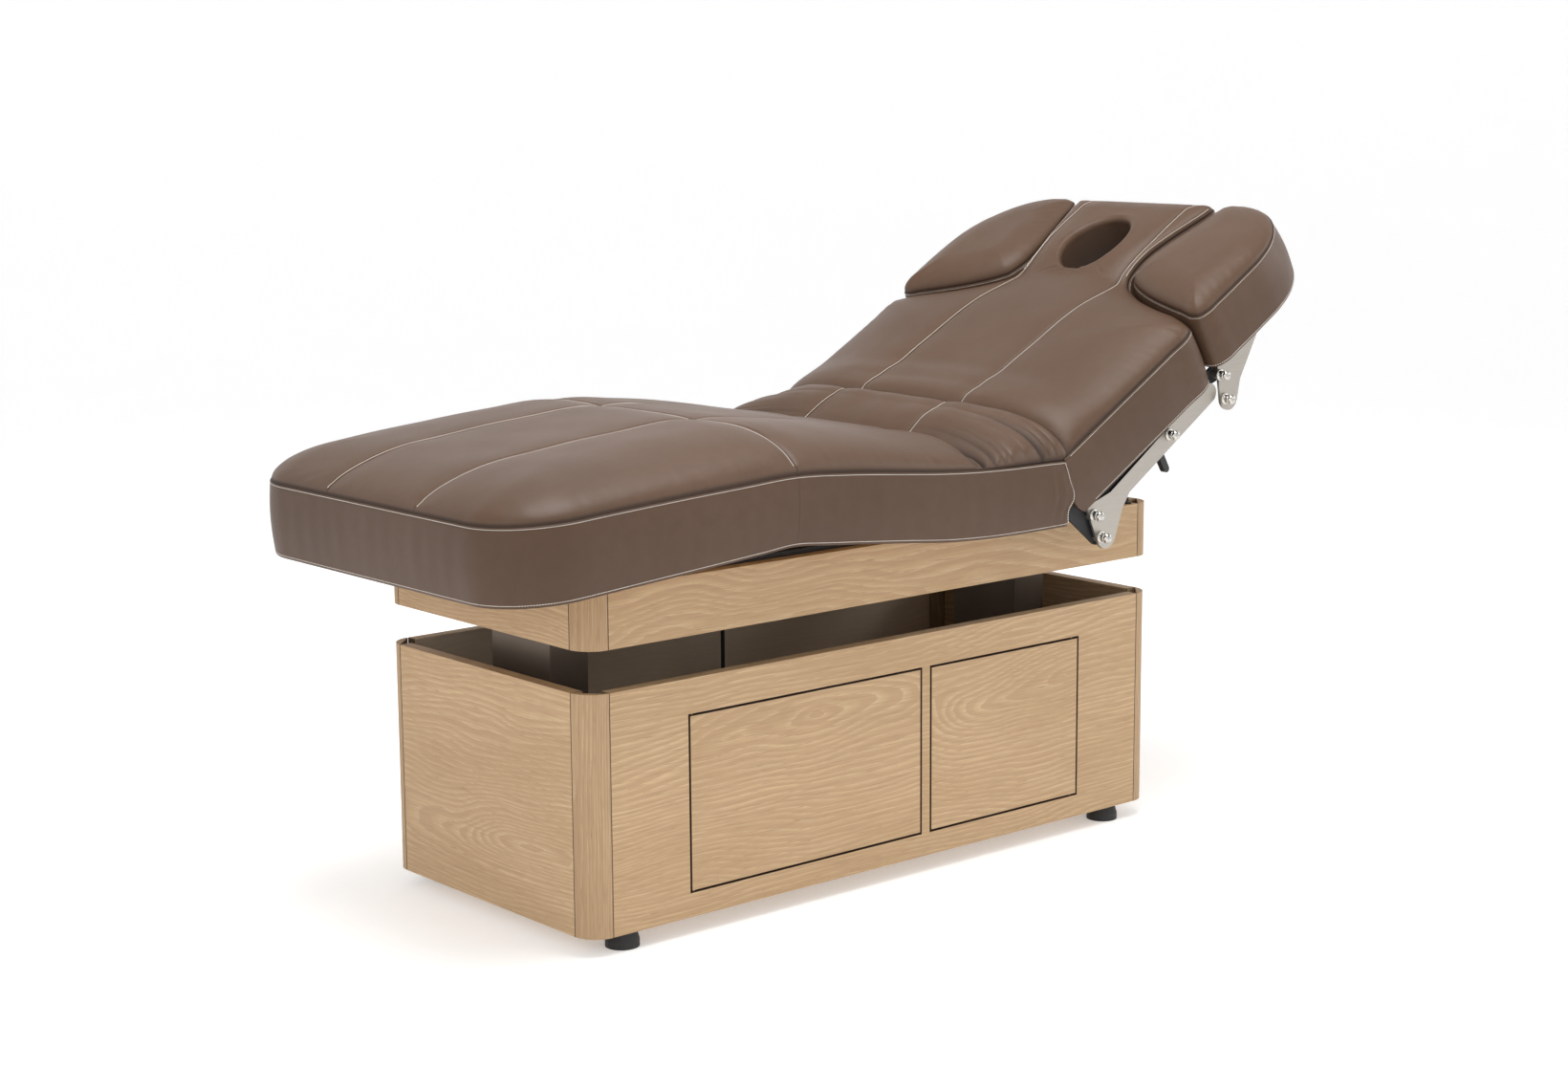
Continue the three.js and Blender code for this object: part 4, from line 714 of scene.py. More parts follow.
def strip_grid(t, y):
    """t is 0 under the fold, 1 at the crest and 1.5 in the crease. Gives x and z.

    The crown climbs from a quarter of its height to the crest and falls off behind it as a quarter round.
    """
    side = np.abs(y)
    start, crest = curve(side, FOLD_LINE) + 9, curve(side, CREST_LINE)
    behind = unit((t - 1) / 0.5)
    x = np.where(t < 1, start + (crest - start) * t, crest + 27 * np.sin(behind * math.pi / 2))
    d = seat_distance(x, y)
    z = edge_seam(x) - RIM_DROP + (curve(t, STRIP_CLIMB) + RIM_DROP) * section_rise(d, 235)
    lively = unit(t / 0.05) * unit((1.14 - t) / 0.14)
    swell = 8.5 * np.exp(-d / 130) + 0.9 * waves(x + 0.1 * y, (70, 110), 33) * np.exp(-d / 160)
    z = z + (swell - valleys(x, y)) * unit(d / 9) * lively
    soft = 1.6 * np.sin(math.pi * (2.2 * t + 0.003 * y)) * lively * (1 - np.exp(-d / 80))
    dent = 1.3 * waves(y, (90, 140, 210), 35) * unit(d / 40)
    dent = dent * unit(t * 1.5) * unit((1.25 - t) * 4)
    dip = 0.8 * long_seam_dip(y - strip_drag(t, y), strip_middle(t)) * lively * unit(d / 14)
    return x, z + soft + dent - dip


def strip_middle(t):
    """The seat's long seams drift outward as the strip climbs."""
    return 142 + 6 * (1 - t) - 2 * t


def strip_drag(t, y):
    """Towards the fold both seams are dragged to the far side, and the edges stay where they are."""
    return 20 * unit(1 - t) ** 1.5 * (1 - (y / (HALF - WELT)) ** 2)


strip_t = np.unique(np.concatenate([np.linspace(0, 1.12, 120), np.linspace(1.12, 1.5, 22)]))
strip = Cover("seat_strip")
ys = across(np.full(len(strip_t), HALF - WELT), strip_middle(strip_t))
ts = strip_t[:, None] + 0 * ys
ys = ys + strip_drag(ts, ys)
xs, zs = strip_grid(ts, ys)
from_edge = seat_distance(xs, ys)
# painted shade on the strip: over the long seams, at its edges, in the crease behind the crest and under the
# hip fold
fold = np.maximum.reduce([0.6 * crease(np.abs(ys - strip_drag(ts, ys)) - strip_middle(ts), 1.8),
                          0.7 * crease(from_edge, 1.2), 0.8 * unit((ts - 1.15) / 0.3),
                          0.7 * unit((0.1 - ts) / 0.1)])
# painted shade in the deep valleys of the gathered leather
valley = unit((valleys(xs, ys) - 4.0) / 9) * (ts < 1.0)
strip.sheet(bench(xs, ys, zs), fold=np.maximum(fold, 0.85 * valley))
# the underside keeps the top's rim and sinks to just over the shelf, like the lower half of a lens
from_end = np.minimum(ts / 0.12, (1.5 - ts) / 0.12)
within = unit(np.minimum(from_end, from_edge / 40))
floor_z = edge_seam(xs) - 1.6 + 12 * unit(from_edge / 60)
under_z = zs + (np.minimum(floor_z, zs - 3) - zs) * within ** 0.5
# the underside is painted as full shade
strip.sheet(bench(xs, ys, under_z), fold=1.0, turn=True)
strip = strip.make()

strip_runs = []
for side in (-1, 1):
    t = np.linspace(0.16, 1.0, 80)
    y = side * (strip_middle(t) + 3.5)
    y = y + strip_drag(t, y)
    x, z = strip_grid(t, y)
    points = bench(x, y, z)
    strip_runs.append((points, np.cross(np.gradient(points, axis=0), np.tile([0, 1, 0], (80, 1)))))
strip_thread = stitches("seat_strip_stitching", strip_runs)

# %% [markdown]
# ## Back and head cover
#
# The back is one long pad that narrows at the shoulders to a neck and widens again into the head
# cushion with its face hole. Everything here is written along the slope: along from the pivot,
# up from the pivot's level. The outline is a soft line through measured stops.

# %% Back outline
BACK_MIDDLE = 138.0
BACK_START, BACK_END = 28.0, 830.0
back_far = [(28, 416), (120, 416), (250, 416), (360, 416), (418, 415.5), (436, 408), (448, 392), (466, 356),
            (483, 302), (500, 254), (516, 217), (532, 187), (552, 161), (574, 149), (600, 147), (640, 150),
            (700, 162), (760, 176), (800, 185), (814, 186), (825, 180), (829.5, 168), (830, 150), (830, 80),
            (830, 0)]
back_half = ribbon(back_far, 5.0)
back_line = np.vstack([back_half, back_half[::-1][1:] * (1, -1)])
back_inner = back_line - outward(back_line) * WELT
back_rim = back_inner.copy()
back_rim[[0, -1], 0] = -200
BACK_SEAM = [(28, 61), (436, 61), (520, 61), (550, 63), (576, 69), (600, 73), (830, 73)]
BACK_HEM = [(28, -61), (400, -61), (440, -61), (520, -50), (560, -41), (830, -41)]
BACK_CROWN = [(28, 2), (36, 18), (46, 35), (56, 50), (68, 62), (85, 70), (105, 71.5), (135, 67), (185, 58),
              (235, 55.5), (285, 53.5), (335, 52), (385, 50), (435, 46), (485, 39), (530, 30), (556, 25),
              (580, 23), (610, 23), (830, 23)]
BACK_RUN = [(28, 190), (400, 190), (470, 150), (540, 95), (600, 62), (830, 56)]
BACK_MIDDLES = [(28, 138), (500, 138), (540, 137), (578, 131), (620, 133), (680, 138), (830, 138)]
LOW_END = [(-64, -2), (-40, -18), (0, -16), (40, -6), (61, 0)]
HOLE_AT, HOLE_LONG, HOLE_WIDE = 657.0, 84.0, 70.0

# %% Back height
def hole_distance(x, y):
    """Rough distance outside the face hole: shares of the oval's radii, scaled by its mean half-size."""
    return (np.hypot((x - HOLE_AT) / HOLE_LONG, y / HOLE_WIDE) - 1) * (HOLE_LONG + HOLE_WIDE) / 2


def back_height(x, y):
    """Seam plus crown by distance to the outline, with tucks, neck folds and a soft lip at the hole."""
    d = distance_to(back_rim, x, y)
    rise = 0.95 * pillow(d, curve(x, BACK_RUN)) + 0.05 * pillow(d, 400)
    top = curve(x, BACK_SEAM) - RIM_DROP + (curve(x, BACK_CROWN) + RIM_DROP) * rise
    dip = long_seam_dip(y, back_middle(x)) * unit((d - 4) / 14) * unit((x - 60) / 40)
    side = unit((x - 210) / 120) * unit((438 - x) / 20)
    tucks = 2.2 * np.minimum(waves(x + 0.25 * (HALF - np.abs(y)), (19, 27, 43), 51), 0.15)
    tucks = tucks * np.exp(-d / 32) * unit(d / 8) * side
    lap = 2.0 * waves(x + 0.02 * y ** 2 / 40, (66, 95), 57) * crease((x - 120) / 70, 1.0)
    lap = lap * unit(1 - np.abs(y) / 380)
    neck = 2.4 * waves(x + y ** 2 / 160 - 0.12 * y, (15, 23), 61) * crease((x - 560) / 20, 1.0)
    neck = neck * unit(1.15 - np.abs(y + 15) / 120)
    soft = 1.2 * waves(x * 0.8 + 0.5 * y, (150, 230, 390), 63) * unit(d / 60)
    e = hole_distance(x, y)
    angle = np.arctan2(y, x - HOLE_AT)
    lip = 1.6 * crease(e - 7, 8) - 1.6 * crease(e - 14, 2.2) * unit(0.5 + 1.2 * np.sin(angle)) * (e > 0)
    return top - dip + tucks + lap + neck + soft + lip + puckers(d, x + np.sign(y) * 300, 53, 0.6, 20)


def back_middle(x):
    """The long seams keep their distance from the middle, and squeeze in a little at the neck."""
    return np.minimum(BACK_MIDDLE, curve(x, BACK_MIDDLES))


# %% Back cover: its rows and columns, and the block left out for the hole
end_turn = np.linspace(math.pi / 2, 0, 14)
back_x = np.concatenate([BACK_START + np.array([0, 2, 4.5, 7.5, 11, 15]), np.arange(48, 425, 5.0),
                         np.arange(425, 590, 3.0), np.arange(590, 806, 4.0),
                         BACK_END - WELT - 22 * (1 - np.sin(end_turn[::-1]))])
rise_part = back_inner[: np.argmax(back_inner[: len(back_half), 0]) + 1]
halves = np.interp(back_x, rise_part[:, 0], rise_part[:, 1])
back_ys = across(halves, back_middle(back_x) * np.minimum(1, halves / (back_middle(back_x) + 6)))
back_xs = back_x[:, None] + 0 * back_ys
back_zs = back_height(back_xs, back_ys)
# painted shade over the long seams, along the rim and at the low end beside the hinge
back_shade = np.maximum.reduce([0.6 * crease(np.abs(back_ys) - back_middle(back_xs), 1.8) * (back_xs > 60),
                               0.7 * crease(distance_to(back_rim, back_xs, back_ys), 1.0),
                               0.9 * unit((62 - back_xs) / 25)])
row0 = np.searchsorted(back_x, HOLE_AT - HOLE_LONG - 24)
row1 = np.searchsorted(back_x, HOLE_AT + HOLE_LONG + 22)
hole_cols = np.nonzero(np.abs(back_ys[row0]) < HOLE_WIDE + 22)[0]
col0, col1 = hole_cols[0], hole_cols[-1]
keep = np.ones((len(back_x) - 1, back_ys.shape[1] - 1), bool)
keep[row0:row1, col0:col1] = False


def back_place(x, y, z):
    """Slants the low end: below the seam it reaches further down, to a tip beside the hinge."""
    share = unit((150 - x) / 122) ** 2
    return slope(x + share * curve(z, LOW_END), y, z)


def back_seam(x):
    """Height of the back's seam over the pivot's level, along the slope."""
    return curve(x, BACK_SEAM)


def back_hem(x):
    """Height of the back's hem, which lies below the pivot's level."""
    return curve(x, BACK_HEM)


back_cover = Cover("back_cover")
back_base = wrap(back_cover, back_place, back_xs, back_ys, back_zs, back_shade, back_seam, back_hem, "last",
                 bulge=2.5, taper=3.0, ripple=soft_side((48, 79, 130), 7, 0.5), keep=keep)

# %% The face hole: rings from the left-out block to the oval, down its wall and out under the base
corners = np.array([(row0, col0), (row1, col0), (row1, col1), (row0, col1), (row0, col0)])
sides = [np.linspace(a, b, np.abs(b - a).sum(), endpoint=False) for a, b in zip(corners[:-1], corners[1:])]
block = np.vstack(sides + [corners[:1]]).round().astype(int)
rows, cols = block.T
outer = np.stack([back_xs[rows, cols], back_ys[rows, cols]], 1)
turn = np.unwrap(np.arctan2(outer[:, 1] / HOLE_WIDE, (outer[:, 0] - HOLE_AT) / HOLE_LONG))
turn = 0.35 * turn + 0.65 * np.linspace(turn[0], turn[-1], len(turn))
oval = np.stack([HOLE_AT + HOLE_LONG * np.cos(turn), HOLE_WIDE * np.sin(turn)], 1)
oval[-1] = oval[0]
share = np.array([0, 0.12, 0.26, 0.42, 0.58, 0.72, 0.83, 0.91, 0.97, 1.0])[:, None, None]
plan = outer[None] * (1 - share) + oval[None] * share
lip_rise = back_height(plan[..., 0], plan[..., 1])
near_lip = unit(1 - np.maximum(hole_distance(plan[..., 0], plan[..., 1]), 0) / 14)
lip_rise = lip_rise - 12 * (1 - np.sqrt(1 - near_lip ** 2 * 0.998))
lip_rise[0] = back_zs[rows, cols]
depth = np.array([4, 10, 20, 34, 50, 66, 80, 90])[:, None] / 90
shrink = np.array([-0.6, -0.2, 0.8, 2.0, 3.0, 3.6, 4.0, 4.2])[:, None, None]
middle = np.array([HOLE_AT, 0.0])
wall = middle + (oval - middle)[None] * (1 - shrink / HOLE_LONG)
wall_z = lip_rise[-1][None] * (1 - depth) + (BACK_HEM[-1][1] + DECK_DEPTH - 1.0) * depth
under = np.linspace(0, 1, 4)[1:, None, None]
base_plan = wall[-1][None] * (1 - under) + back_base[rows, cols, :2][None] * under
base_z = wall_z[-1][None] * (1 - under[..., 0]) + back_base[rows, cols, 2][None] * under[..., 0]
hole_plan = np.vstack([plan, wall, base_plan])
hole_z = np.vstack([lip_rise, wall_z, base_z])
# painted shade: none on the lip, darkening down the hole's wall, full under the base
hole_shade = np.concatenate([np.zeros(len(plan)), np.linspace(0.30, 1.0, len(wall)), np.ones(len(base_plan))])
hole_points = back_place(hole_plan[..., 0], hole_plan[..., 1], hole_z)
back_cover.sheet(hole_points, turn=True, fold=hole_shade[:, None])
back_cover = back_cover.make()

# %% Back cover: its stitching
back_runs = []
for side in (-1, 1):
    x = np.linspace(66, BACK_END - 8, 420)
    back_runs.append(run_on(slope, back_height, x, side * (back_middle(x) + 3.5)))
back_edge = rim_of(back_xs, back_ys, "last")
seam_edge = back_edge[back_edge[:, 0] > 40]
back_runs.append(run_beside(back_place, seam_edge, back_seam(seam_edge[:, 0]) - STITCH_DROP, SEAM_OUT))
clear_edge = back_edge[back_edge[:, 0] > 62]
back_runs.append(run_beside(back_place, clear_edge, back_hem(clear_edge[:, 0]) + HEM_UP, -2.9))
head_x = np.linspace(574, 812, 160)
head_half = np.interp(head_x, rise_part[:, 0], rise_part[:, 1])
for side in (-1, 1):
    back_runs.append(run_on(slope, back_height, head_x, side * (head_half - 4.0)))
back_thread = stitches("back_stitching", back_runs)

# %% [markdown]
# ## Arm rests
#
# Each arm rest is a small, full pad with a big round corner. Its inner and lower edges run close
# along the head cushion and the shoulder. The far one is the near one mirrored.

# %% Arm outline and height
ARM_STOPS = [(573, 168), (600, 162), (640, 164), (700, 175), (760, 189), (810, 201), (826, 208), (834, 222),
             (836, 245), (832, 280), (818, 318), (792, 354), (756, 384), (712, 406), (664, 417), (600, 419.5),
             (520, 419.5), (484, 418), (469, 411), (465, 396), (475, 362), (492, 308), (509, 261), (526, 223),
             (545, 190), (558, 174)]
ARM_SEAM, ARM_HEM = 73.0, -41.0
ARM_CROWN = [(460, 33), (560, 34), (660, 30), (760, 21), (840, 17)]
arm_far = ribbon(ARM_STOPS, 4.0, closed=True)
near_rim = [0, 0.002, 0.006, 0.012, 0.022, 0.035, 0.052, 0.075, 0.105, 0.14, 0.18]
ring_shares = np.concatenate([near_rim, np.linspace(0.225, 1, 26)])
base_shares = np.linspace(0, 1, 8)
RIDGE_LOW, RIDGE_HIGH = np.array([610.0, 285.0]), np.array([710.0, 315.0])


def arm_ring(rim, side, shares):
    """Rings that shrink from the rim to a short ridge in the middle and then close on its centre."""
    ridge = np.clip(rim * (1, side), RIDGE_LOW, RIDGE_HIGH) * (1, side)
    rings = rim[None] * (1 - shares[:, None, None]) + ridge[None] * shares[:, None, None]
    hub = np.broadcast_to((RIDGE_LOW + RIDGE_HIGH) / 2 * (1, side), (1, len(rim), 2))
    return np.vstack([rings, hub])


# %% Arm covers
arm_covers, arm_threads = [], []
for name, side in (("arm_near_cover", -1), ("arm_far_cover", 1)):
    line = arm_far[::-1] if side > 0 else arm_far * (1, -1)
    rim = line - outward(line, closed=True) * WELT
    rim[-1] = rim[0]

    def arm_height(x, y, rim=rim):
        """A full pad: it reaches its height 78 mm from the rim, with puckers and a slow unevenness."""
        d = distance_to(rim, x, y)
        uneven = 0.8 * waves(x - y, (120, 190), 73) * unit(d / 50)
        uneven = puckers(d, x + 0.7 * np.abs(y), 71, 0.8, 24) + uneven
        return ARM_SEAM - RIM_DROP + (curve(x, ARM_CROWN) + RIM_DROP) * pillow(d, 78) + uneven

    cover = Cover(name)
    plan = arm_ring(rim, side, ring_shares)
    tops = arm_height(plan[..., 0], plan[..., 1])
    # painted shade along the arm's rim, fading over three rings
    arm_top_shade = np.concatenate([[0.8, 0.5, 0.2], np.zeros(len(plan) - 3)])
    cover.sheet(slope(plan[..., 0], plan[..., 1], tops), fold=arm_top_shade[:, None])
    shape = band_shape(rim, tops[0], ARM_SEAM, ARM_HEM, 6.0, -7.0, 0.0, closed=True)
    shape[-1] = shape[0]
    cover.sheet(slope(*np.moveaxis(shape, -1, 0)), fold=BAND_SHADE[None])
    base = arm_ring(shape[:, -1, :2], side, base_shares)
    # the arm's base is painted as full shade
    cover.sheet(slope(base[..., 0], base[..., 1], ARM_HEM + DECK_DEPTH), fold=1.0, turn=True)
    arm_covers.append(cover.make())
    runs = band_runs(slope, rim, ARM_SEAM, ARM_HEM, 7.0, closed=True)
    arm_threads.append(stitches(name.replace("cover", "stitching"), runs))

# %% [markdown]
# ## Shader maths in plain Python
#
# A finish is a chain of nodes. Writing them by hand hides the idea, so this class wraps a socket
# and turns plus, minus, times and powers into Math nodes. Any other node comes from one method,
# which takes its type, its settings and its sockets.

# %% Paint box
def math_node(kind, swapped=False):
    """An operator that makes one Math node of that kind, with its two sides swapped if asked."""
    def work(self, other):
        first, second = (other, self) if swapped else (self, other)
        return self.paint.node("ShaderNodeMath", {"operation": kind}, {0: first, 1: second})
    return work


class Value:
    def __init__(self, paint, socket):
        self.paint, self.socket = paint, socket

    __add__ = __radd__ = math_node("ADD")
    __mul__ = __rmul__ = math_node("MULTIPLY")
    __sub__, __rsub__ = math_node("SUBTRACT"), math_node("SUBTRACT", swapped=True)
    __pow__ = math_node("POWER")

    def step(self, low, high):
        """0 below low, 1 above high and a soft step between."""
        return self.paint.node("ShaderNodeMapRange", {"interpolation_type": "SMOOTHSTEP"},
                               {0: self, 1: low, 2: high, 3: 0.0, 4: 1.0})


class Paint:
    def __init__(self, name, **constants):
        self.material = bpy.data.materials.new(name)
        self.material.use_nodes = True
        self.tree = self.material.node_tree
        self.shader = self.tree.nodes["Principled BSDF"]
        for key, value in constants.items():
            self.shader.inputs[key.replace("_", " ")].default_value = value
        self.place = self.node("ShaderNodeTexCoord", {}, {}, output="Object")

    def node(self, kind, settings, inputs, output=0):
        """Adds a node: its settings, then its sockets by index or name, each a value or a link."""
        made = self.tree.nodes.new(kind)
        for key, value in settings.items():
            setattr(made, key, value)
        for key, value in inputs.items():
            if isinstance(value, Value):
                self.tree.links.new(value.socket, made.inputs[key])
            else:
                made.inputs[key].default_value = value
        return Value(self, made.outputs[output])

    def axes(self):
        return [self.node("ShaderNodeSeparateXYZ", {}, {0: self.place}, output=k) for k in range(3)]

    def spot(self, x, y, z):
        return self.node("ShaderNodeCombineXYZ", {}, {0: x, 1: y, 2: z})

    def noise(self, where, scale, detail=2.0, rough=0.5):
        inputs = {"Vector": where, "Scale": scale, "Detail": detail, "Roughness": rough}
        return self.node("ShaderNodeTexNoise", {}, inputs)

    def mix(self, share, first, second):
        """Mixes two colours. Sockets 6 and 7 are the node's colour pair, and output 2 is its colour."""
        return self.node("ShaderNodeMix", {"data_type": "RGBA"}, {0: share, 6: first, 7: second}, output=2)

    def feed(self, **links):
        for key, value in links.items():
            self.tree.links.new(value.socket, self.shader.inputs[key.replace("_", " ")])

    def bump(self, height, distance, strength=1.0, under=None):
        inputs = {"Height": height, "Distance": distance, "Strength": strength}
        if under is not None:
            inputs["Normal"] = under
        return self.node("ShaderNodeBump", {}, inputs)


def colour(r, g, b):
    return (r, g, b, 1.0)


print("paint box ready")

# %% [markdown]
# ## Leather
#
# The covers are soft, satin leather in a warm brown-grey. Its grain is a web of tiny creases
# between smooth pebbles. A cell pattern gives the pebbles, a fine noise breaks them up, and both
# only move the light, because the colour is nearly even. Deep in seams and folds, down the face
# hole and on the hidden undersides the colour is darkened as painted shade.

# %% Leather
def leather_paint():
    p = Paint("satin_leather", Specular_IOR_Level=0.23)
    fold = p.node("ShaderNodeAttribute", {"attribute_name": "fold"}, {}, output="Fac")
    cloudy = p.noise(p.place, 3.2, 3.0)
    mottled = p.noise(p.place, 48.0, 3.0)
    base = p.mix(cloudy.step(0.25, 0.75), colour(0.077, 0.0435, 0.0262), colour(0.090, 0.0515, 0.0320))
    base = p.mix(mottled.step(0.3, 0.75) * 0.35, base, colour(0.069, 0.0390, 0.0235))
    # painted shade: seams, folds, the hole's wall and hidden undersides darken towards near-black by their
    # fold number
    base = p.mix(fold * 0.90, base, colour(0.012, 0.007, 0.005))
    cells = p.node("ShaderNodeTexVoronoi", {"feature": "DISTANCE_TO_EDGE"},
                   {"Vector": p.place, "Scale": 620.0})
    pebbles = cells.step(0.0, 0.22)
    fine = p.noise(p.place, 900.0, 2.0)
    soft = p.noise(p.place, 26.0, 4.0)
    rough = p.noise(p.place, 9.0, 2.0)
    p.feed(Base_Color=base, Roughness=0.36 + rough * 0.10 + fold * 0.30,
           Normal=p.bump(pebbles * 0.7 + fine * 0.3, 0.00018, 0.5, under=p.bump(soft, 0.0012, 0.35)))
    return p.material


def thread_paint():
    p = Paint("waxed_thread", Roughness=0.55)
    twist = p.noise(p.place, 700.0, 1.0)
    p.feed(Base_Color=p.mix(twist, colour(0.66, 0.60, 0.52), colour(0.82, 0.77, 0.69)))
    return p.material


leather, thread = leather_paint(), thread_paint()
print("leather and thread mixed")

# %% [markdown]
# ## Oak
#
# A board sawn flat from a log shows the log's rings as long arches. So the pattern is worked out
# as in the tree: the distance from a trunk line that lies behind the board and tilts a little,
# cut into rings. On this oak each ring is a broad, pinkish brown band between thin cream lines,
# where the pores are. Small dark pores, stretched along the grain, sit along the cream lines.
# The two long panels, the two doors and the hand block have trunk lines of their own. The upper
# rails share one, and so do the ends, and so do the posts. The far panel's inner face repeats its
# outer one, greyer and lighter: the grey is its own plainer stain, and the lightness is painted light
# for the weak fill inside the cabinet.

# %% Oak
RINGS_PER_METRE = 105.0


def oak_paint(name, along, over, centre, behind, tilt, seed, arch=0.16, rings=RINGS_PER_METRE, joints=(),
              shade=1.0, stain=(0.12, 0.07, 0.034, 1.0)):
    """along and over are the board's directions as axis numbers, and the third one goes through it.

    The ring number is the distance from the trunk line, with its wander, times rings per metre.
    joints lists where the board meets the next one, as (axis, place), and a fine dark line is drawn
    there. A shade below 1 lets some of the stain through.
    """
    p = Paint(name, Specular_IOR_Level=0.30)
    axes = p.axes()
    through = ({0, 1, 2} - {along, over}).pop()
    g, a, h = axes[along], axes[over], axes[through]
    wander = p.noise(p.spot(g * 1.6 + seed, a * 3.0, h * 3.0 + seed), 1.0, 2.0)
    drift = p.noise(p.spot(g * 3.6 + seed, a * 12.0, h * 12.0), 1.0, 2.0)
    sway = p.noise(p.spot(g * 8.0, a * 70.0 + seed, h * 70.0), 1.0, 3.0)
    up = a - centre + (wander - 0.5) * arch
    back = g * tilt + behind + (drift - 0.5) * 0.040 + (wander - 0.5) * 0.08
    radius = (up ** 2.0 + back ** 2.0) ** 0.5 + (sway - 0.5) * 0.005
    uneven = p.noise(p.spot(radius * 22.0, seed, 0.0), 1.0, 1.0)
    saw = p.node("ShaderNodeMath", {"operation": "FRACT"}, {0: radius * rings + uneven * 2.6})
    late = saw.step(0.28, 0.62) * (1.0 - saw.step(0.93, 1.0))
    cream = 1.0 - saw.step(0.03, 0.30)
    streak = p.noise(p.spot(g * 24.0, a * 1100.0, h * 1100.0), 1.0, 2.0, 0.6)
    pores = streak.step(0.54, 0.66)
    hair = p.noise(p.spot(g * 6.0, a * 420.0, h * 420.0), 1.0, 4.0, 0.7)
    broad = p.noise(p.spot(g * 2.2 + seed, a * 9.0, h * 9.0), 1.0, 3.0)
    base = p.mix(broad.step(0.30, 0.68), colour(0.425, 0.286, 0.157), colour(0.490, 0.342, 0.197))
    base = p.mix(late * (0.10 + broad.step(0.25, 0.6) * 0.26), base, colour(0.330, 0.196, 0.108))
    base = p.mix(cream * (0.06 + sway * 0.52), base, colour(0.600, 0.450, 0.285))
    base = p.mix(hair.step(0.40, 0.70) * 0.50, base, colour(0.318, 0.198, 0.102))
    base = p.mix(pores * (cream * 0.6 + 0.34) * 0.66, base, colour(0.200, 0.115, 0.058))
    base = p.mix(1.0 - shade, base, stain)
    for axis, place in joints:
        off = p.node("ShaderNodeMath", {"operation": "ABSOLUTE"}, {0: axes[axis] - place})
        base = p.mix((1.0 - off.step(0.0007, 0.0014)) * 0.85, base, colour(0.060, 0.030, 0.016))
    p.feed(Base_Color=base, Roughness=0.50 + hair * 0.14 + pores * 0.12,
           Normal=p.bump(hair * 0.35 - pores * (cream * 0.6 + 0.3) - late * 0.1, 0.0004, 0.6))
    return p.material


X, Y, Z = 0, 1, 2
low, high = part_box("cabinet_near_panel")
rail_ends = [(X, float(low[0])), (X, float(high[0]))]
CABINET_HALF, POST = 0.305, 0.046
post_lines = [(Y, POST - CABINET_HALF), (Y, CABINET_HALF - POST)]
oak_long = oak_paint("oak_near_panel", X, Z, 0.52, 0.075, 0.10, 3.0, joints=rail_ends)
oak_far = oak_paint("oak_far_panel", X, Z, 0.10, 0.12, 0.08, 9.0, joints=rail_ends)
oak_door_large = oak_paint("oak_large_door", X, Z, 0.33, 0.045, 0.16, 17.0)
oak_door_small = oak_paint("oak_small_door", X, Z, 0.31, -0.075, 0.20, 23.0)
oak_frame = oak_paint("oak_upper_frame", X, Z, 0.47, 0.14, 0.06, 31.0, 0.10, joints=rail_ends)
oak_end = oak_paint("oak_end_panels", Y, Z, 0.16, 0.03, 0.18, 41.0, joints=post_lines)
oak_post = oak_paint("oak_posts", Z, X, 0.30, 0.25, 0.04, 53.0, 0.03, rings=230.0,
                     joints=post_lines + rail_ends, shade=0.82)
oak_block = oak_paint("oak_hand_block", Z, Y, 0.10, 0.22, 0.05, 61.0)
# inner face: a grey stain that also lightens it, as painted light for the fill inside the cabinet
oak_inside_grey_with_painted_light = oak_paint("oak_inside_grey_with_painted_light", X, Z, 0.10, 0.12, 0.08, 9.0, shade=0.35, stain=colour(0.62, 0.53, 0.43))
print("nine oak finishes")

# %% [markdown]
# ## Plywood, rubber, plastic and steel
#
# These are quieter. Plywood shows fine hairs of grain. Rubber and plastic are nearly even, with a
# slight tooth. The brushed plates have hair-fine scratches along the table, stretched noise that
# shifts the gloss. The columns are dark bronze, the hidden frame black powder coat with its
# orange-peel skin. Bolts are polished chrome.

# %% Other finishes
def plywood_paint():
    p = Paint("birch_plywood", Roughness=0.75)
    x, y, z = p.axes()
    hair = p.noise(p.spot(x * 8.0, y * 300.0, z * 300.0), 1.0, 3.0)
    p.feed(Base_Color=p.mix(hair, colour(0.40, 0.26, 0.14), colour(0.56, 0.39, 0.23)))
    return p.material


def dull_paint(name, low, high, rough, grain, depth):
    p = Paint(name)
    speck = p.noise(p.place, grain, 2.0)
    p.feed(Base_Color=p.mix(speck, colour(*low), colour(*high)), Roughness=rough - 0.05 + speck * 0.10,
           Normal=p.bump(speck, depth, 0.4))
    return p.material


def brushed_paint():
    p = Paint("brushed_steel", Metallic=1.0)
    x, y, z = p.axes()
    lines = p.noise(p.spot(x * 18.0, y * 1400.0, z * 1400.0), 1.0, 3.0)
    smudge = p.noise(p.place, 14.0, 2.0)
    p.feed(Base_Color=p.mix(lines, colour(0.37, 0.34, 0.305), colour(0.50, 0.465, 0.42)),
           Roughness=0.26 + lines * 0.12 + smudge * 0.10, Normal=p.bump(lines, 0.00006, 0.5))
    return p.material


def coated_paint(name, shade, metal, rough):
    p = Paint(name, Metallic=metal)
    peel = p.noise(p.place, 520.0, 2.0)
    dust = p.noise(p.place, 11.0, 3.0)
    lighter = tuple(value * 1.25 for value in shade)
    p.feed(Base_Color=p.mix(dust, colour(*shade), colour(*lighter)), Roughness=rough - 0.04 + dust * 0.08,
           Normal=p.bump(peel, 0.00008, 0.35))
    return p.material


def chrome_paint():
    p = Paint("polished_chrome", Metallic=1.0)
    haze = p.noise(p.place, 60.0, 2.0)
    p.feed(Base_Color=p.mix(haze, colour(0.44, 0.43, 0.40), colour(0.60, 0.58, 0.54)),
           Roughness=0.12 + haze * 0.14)
    return p.material


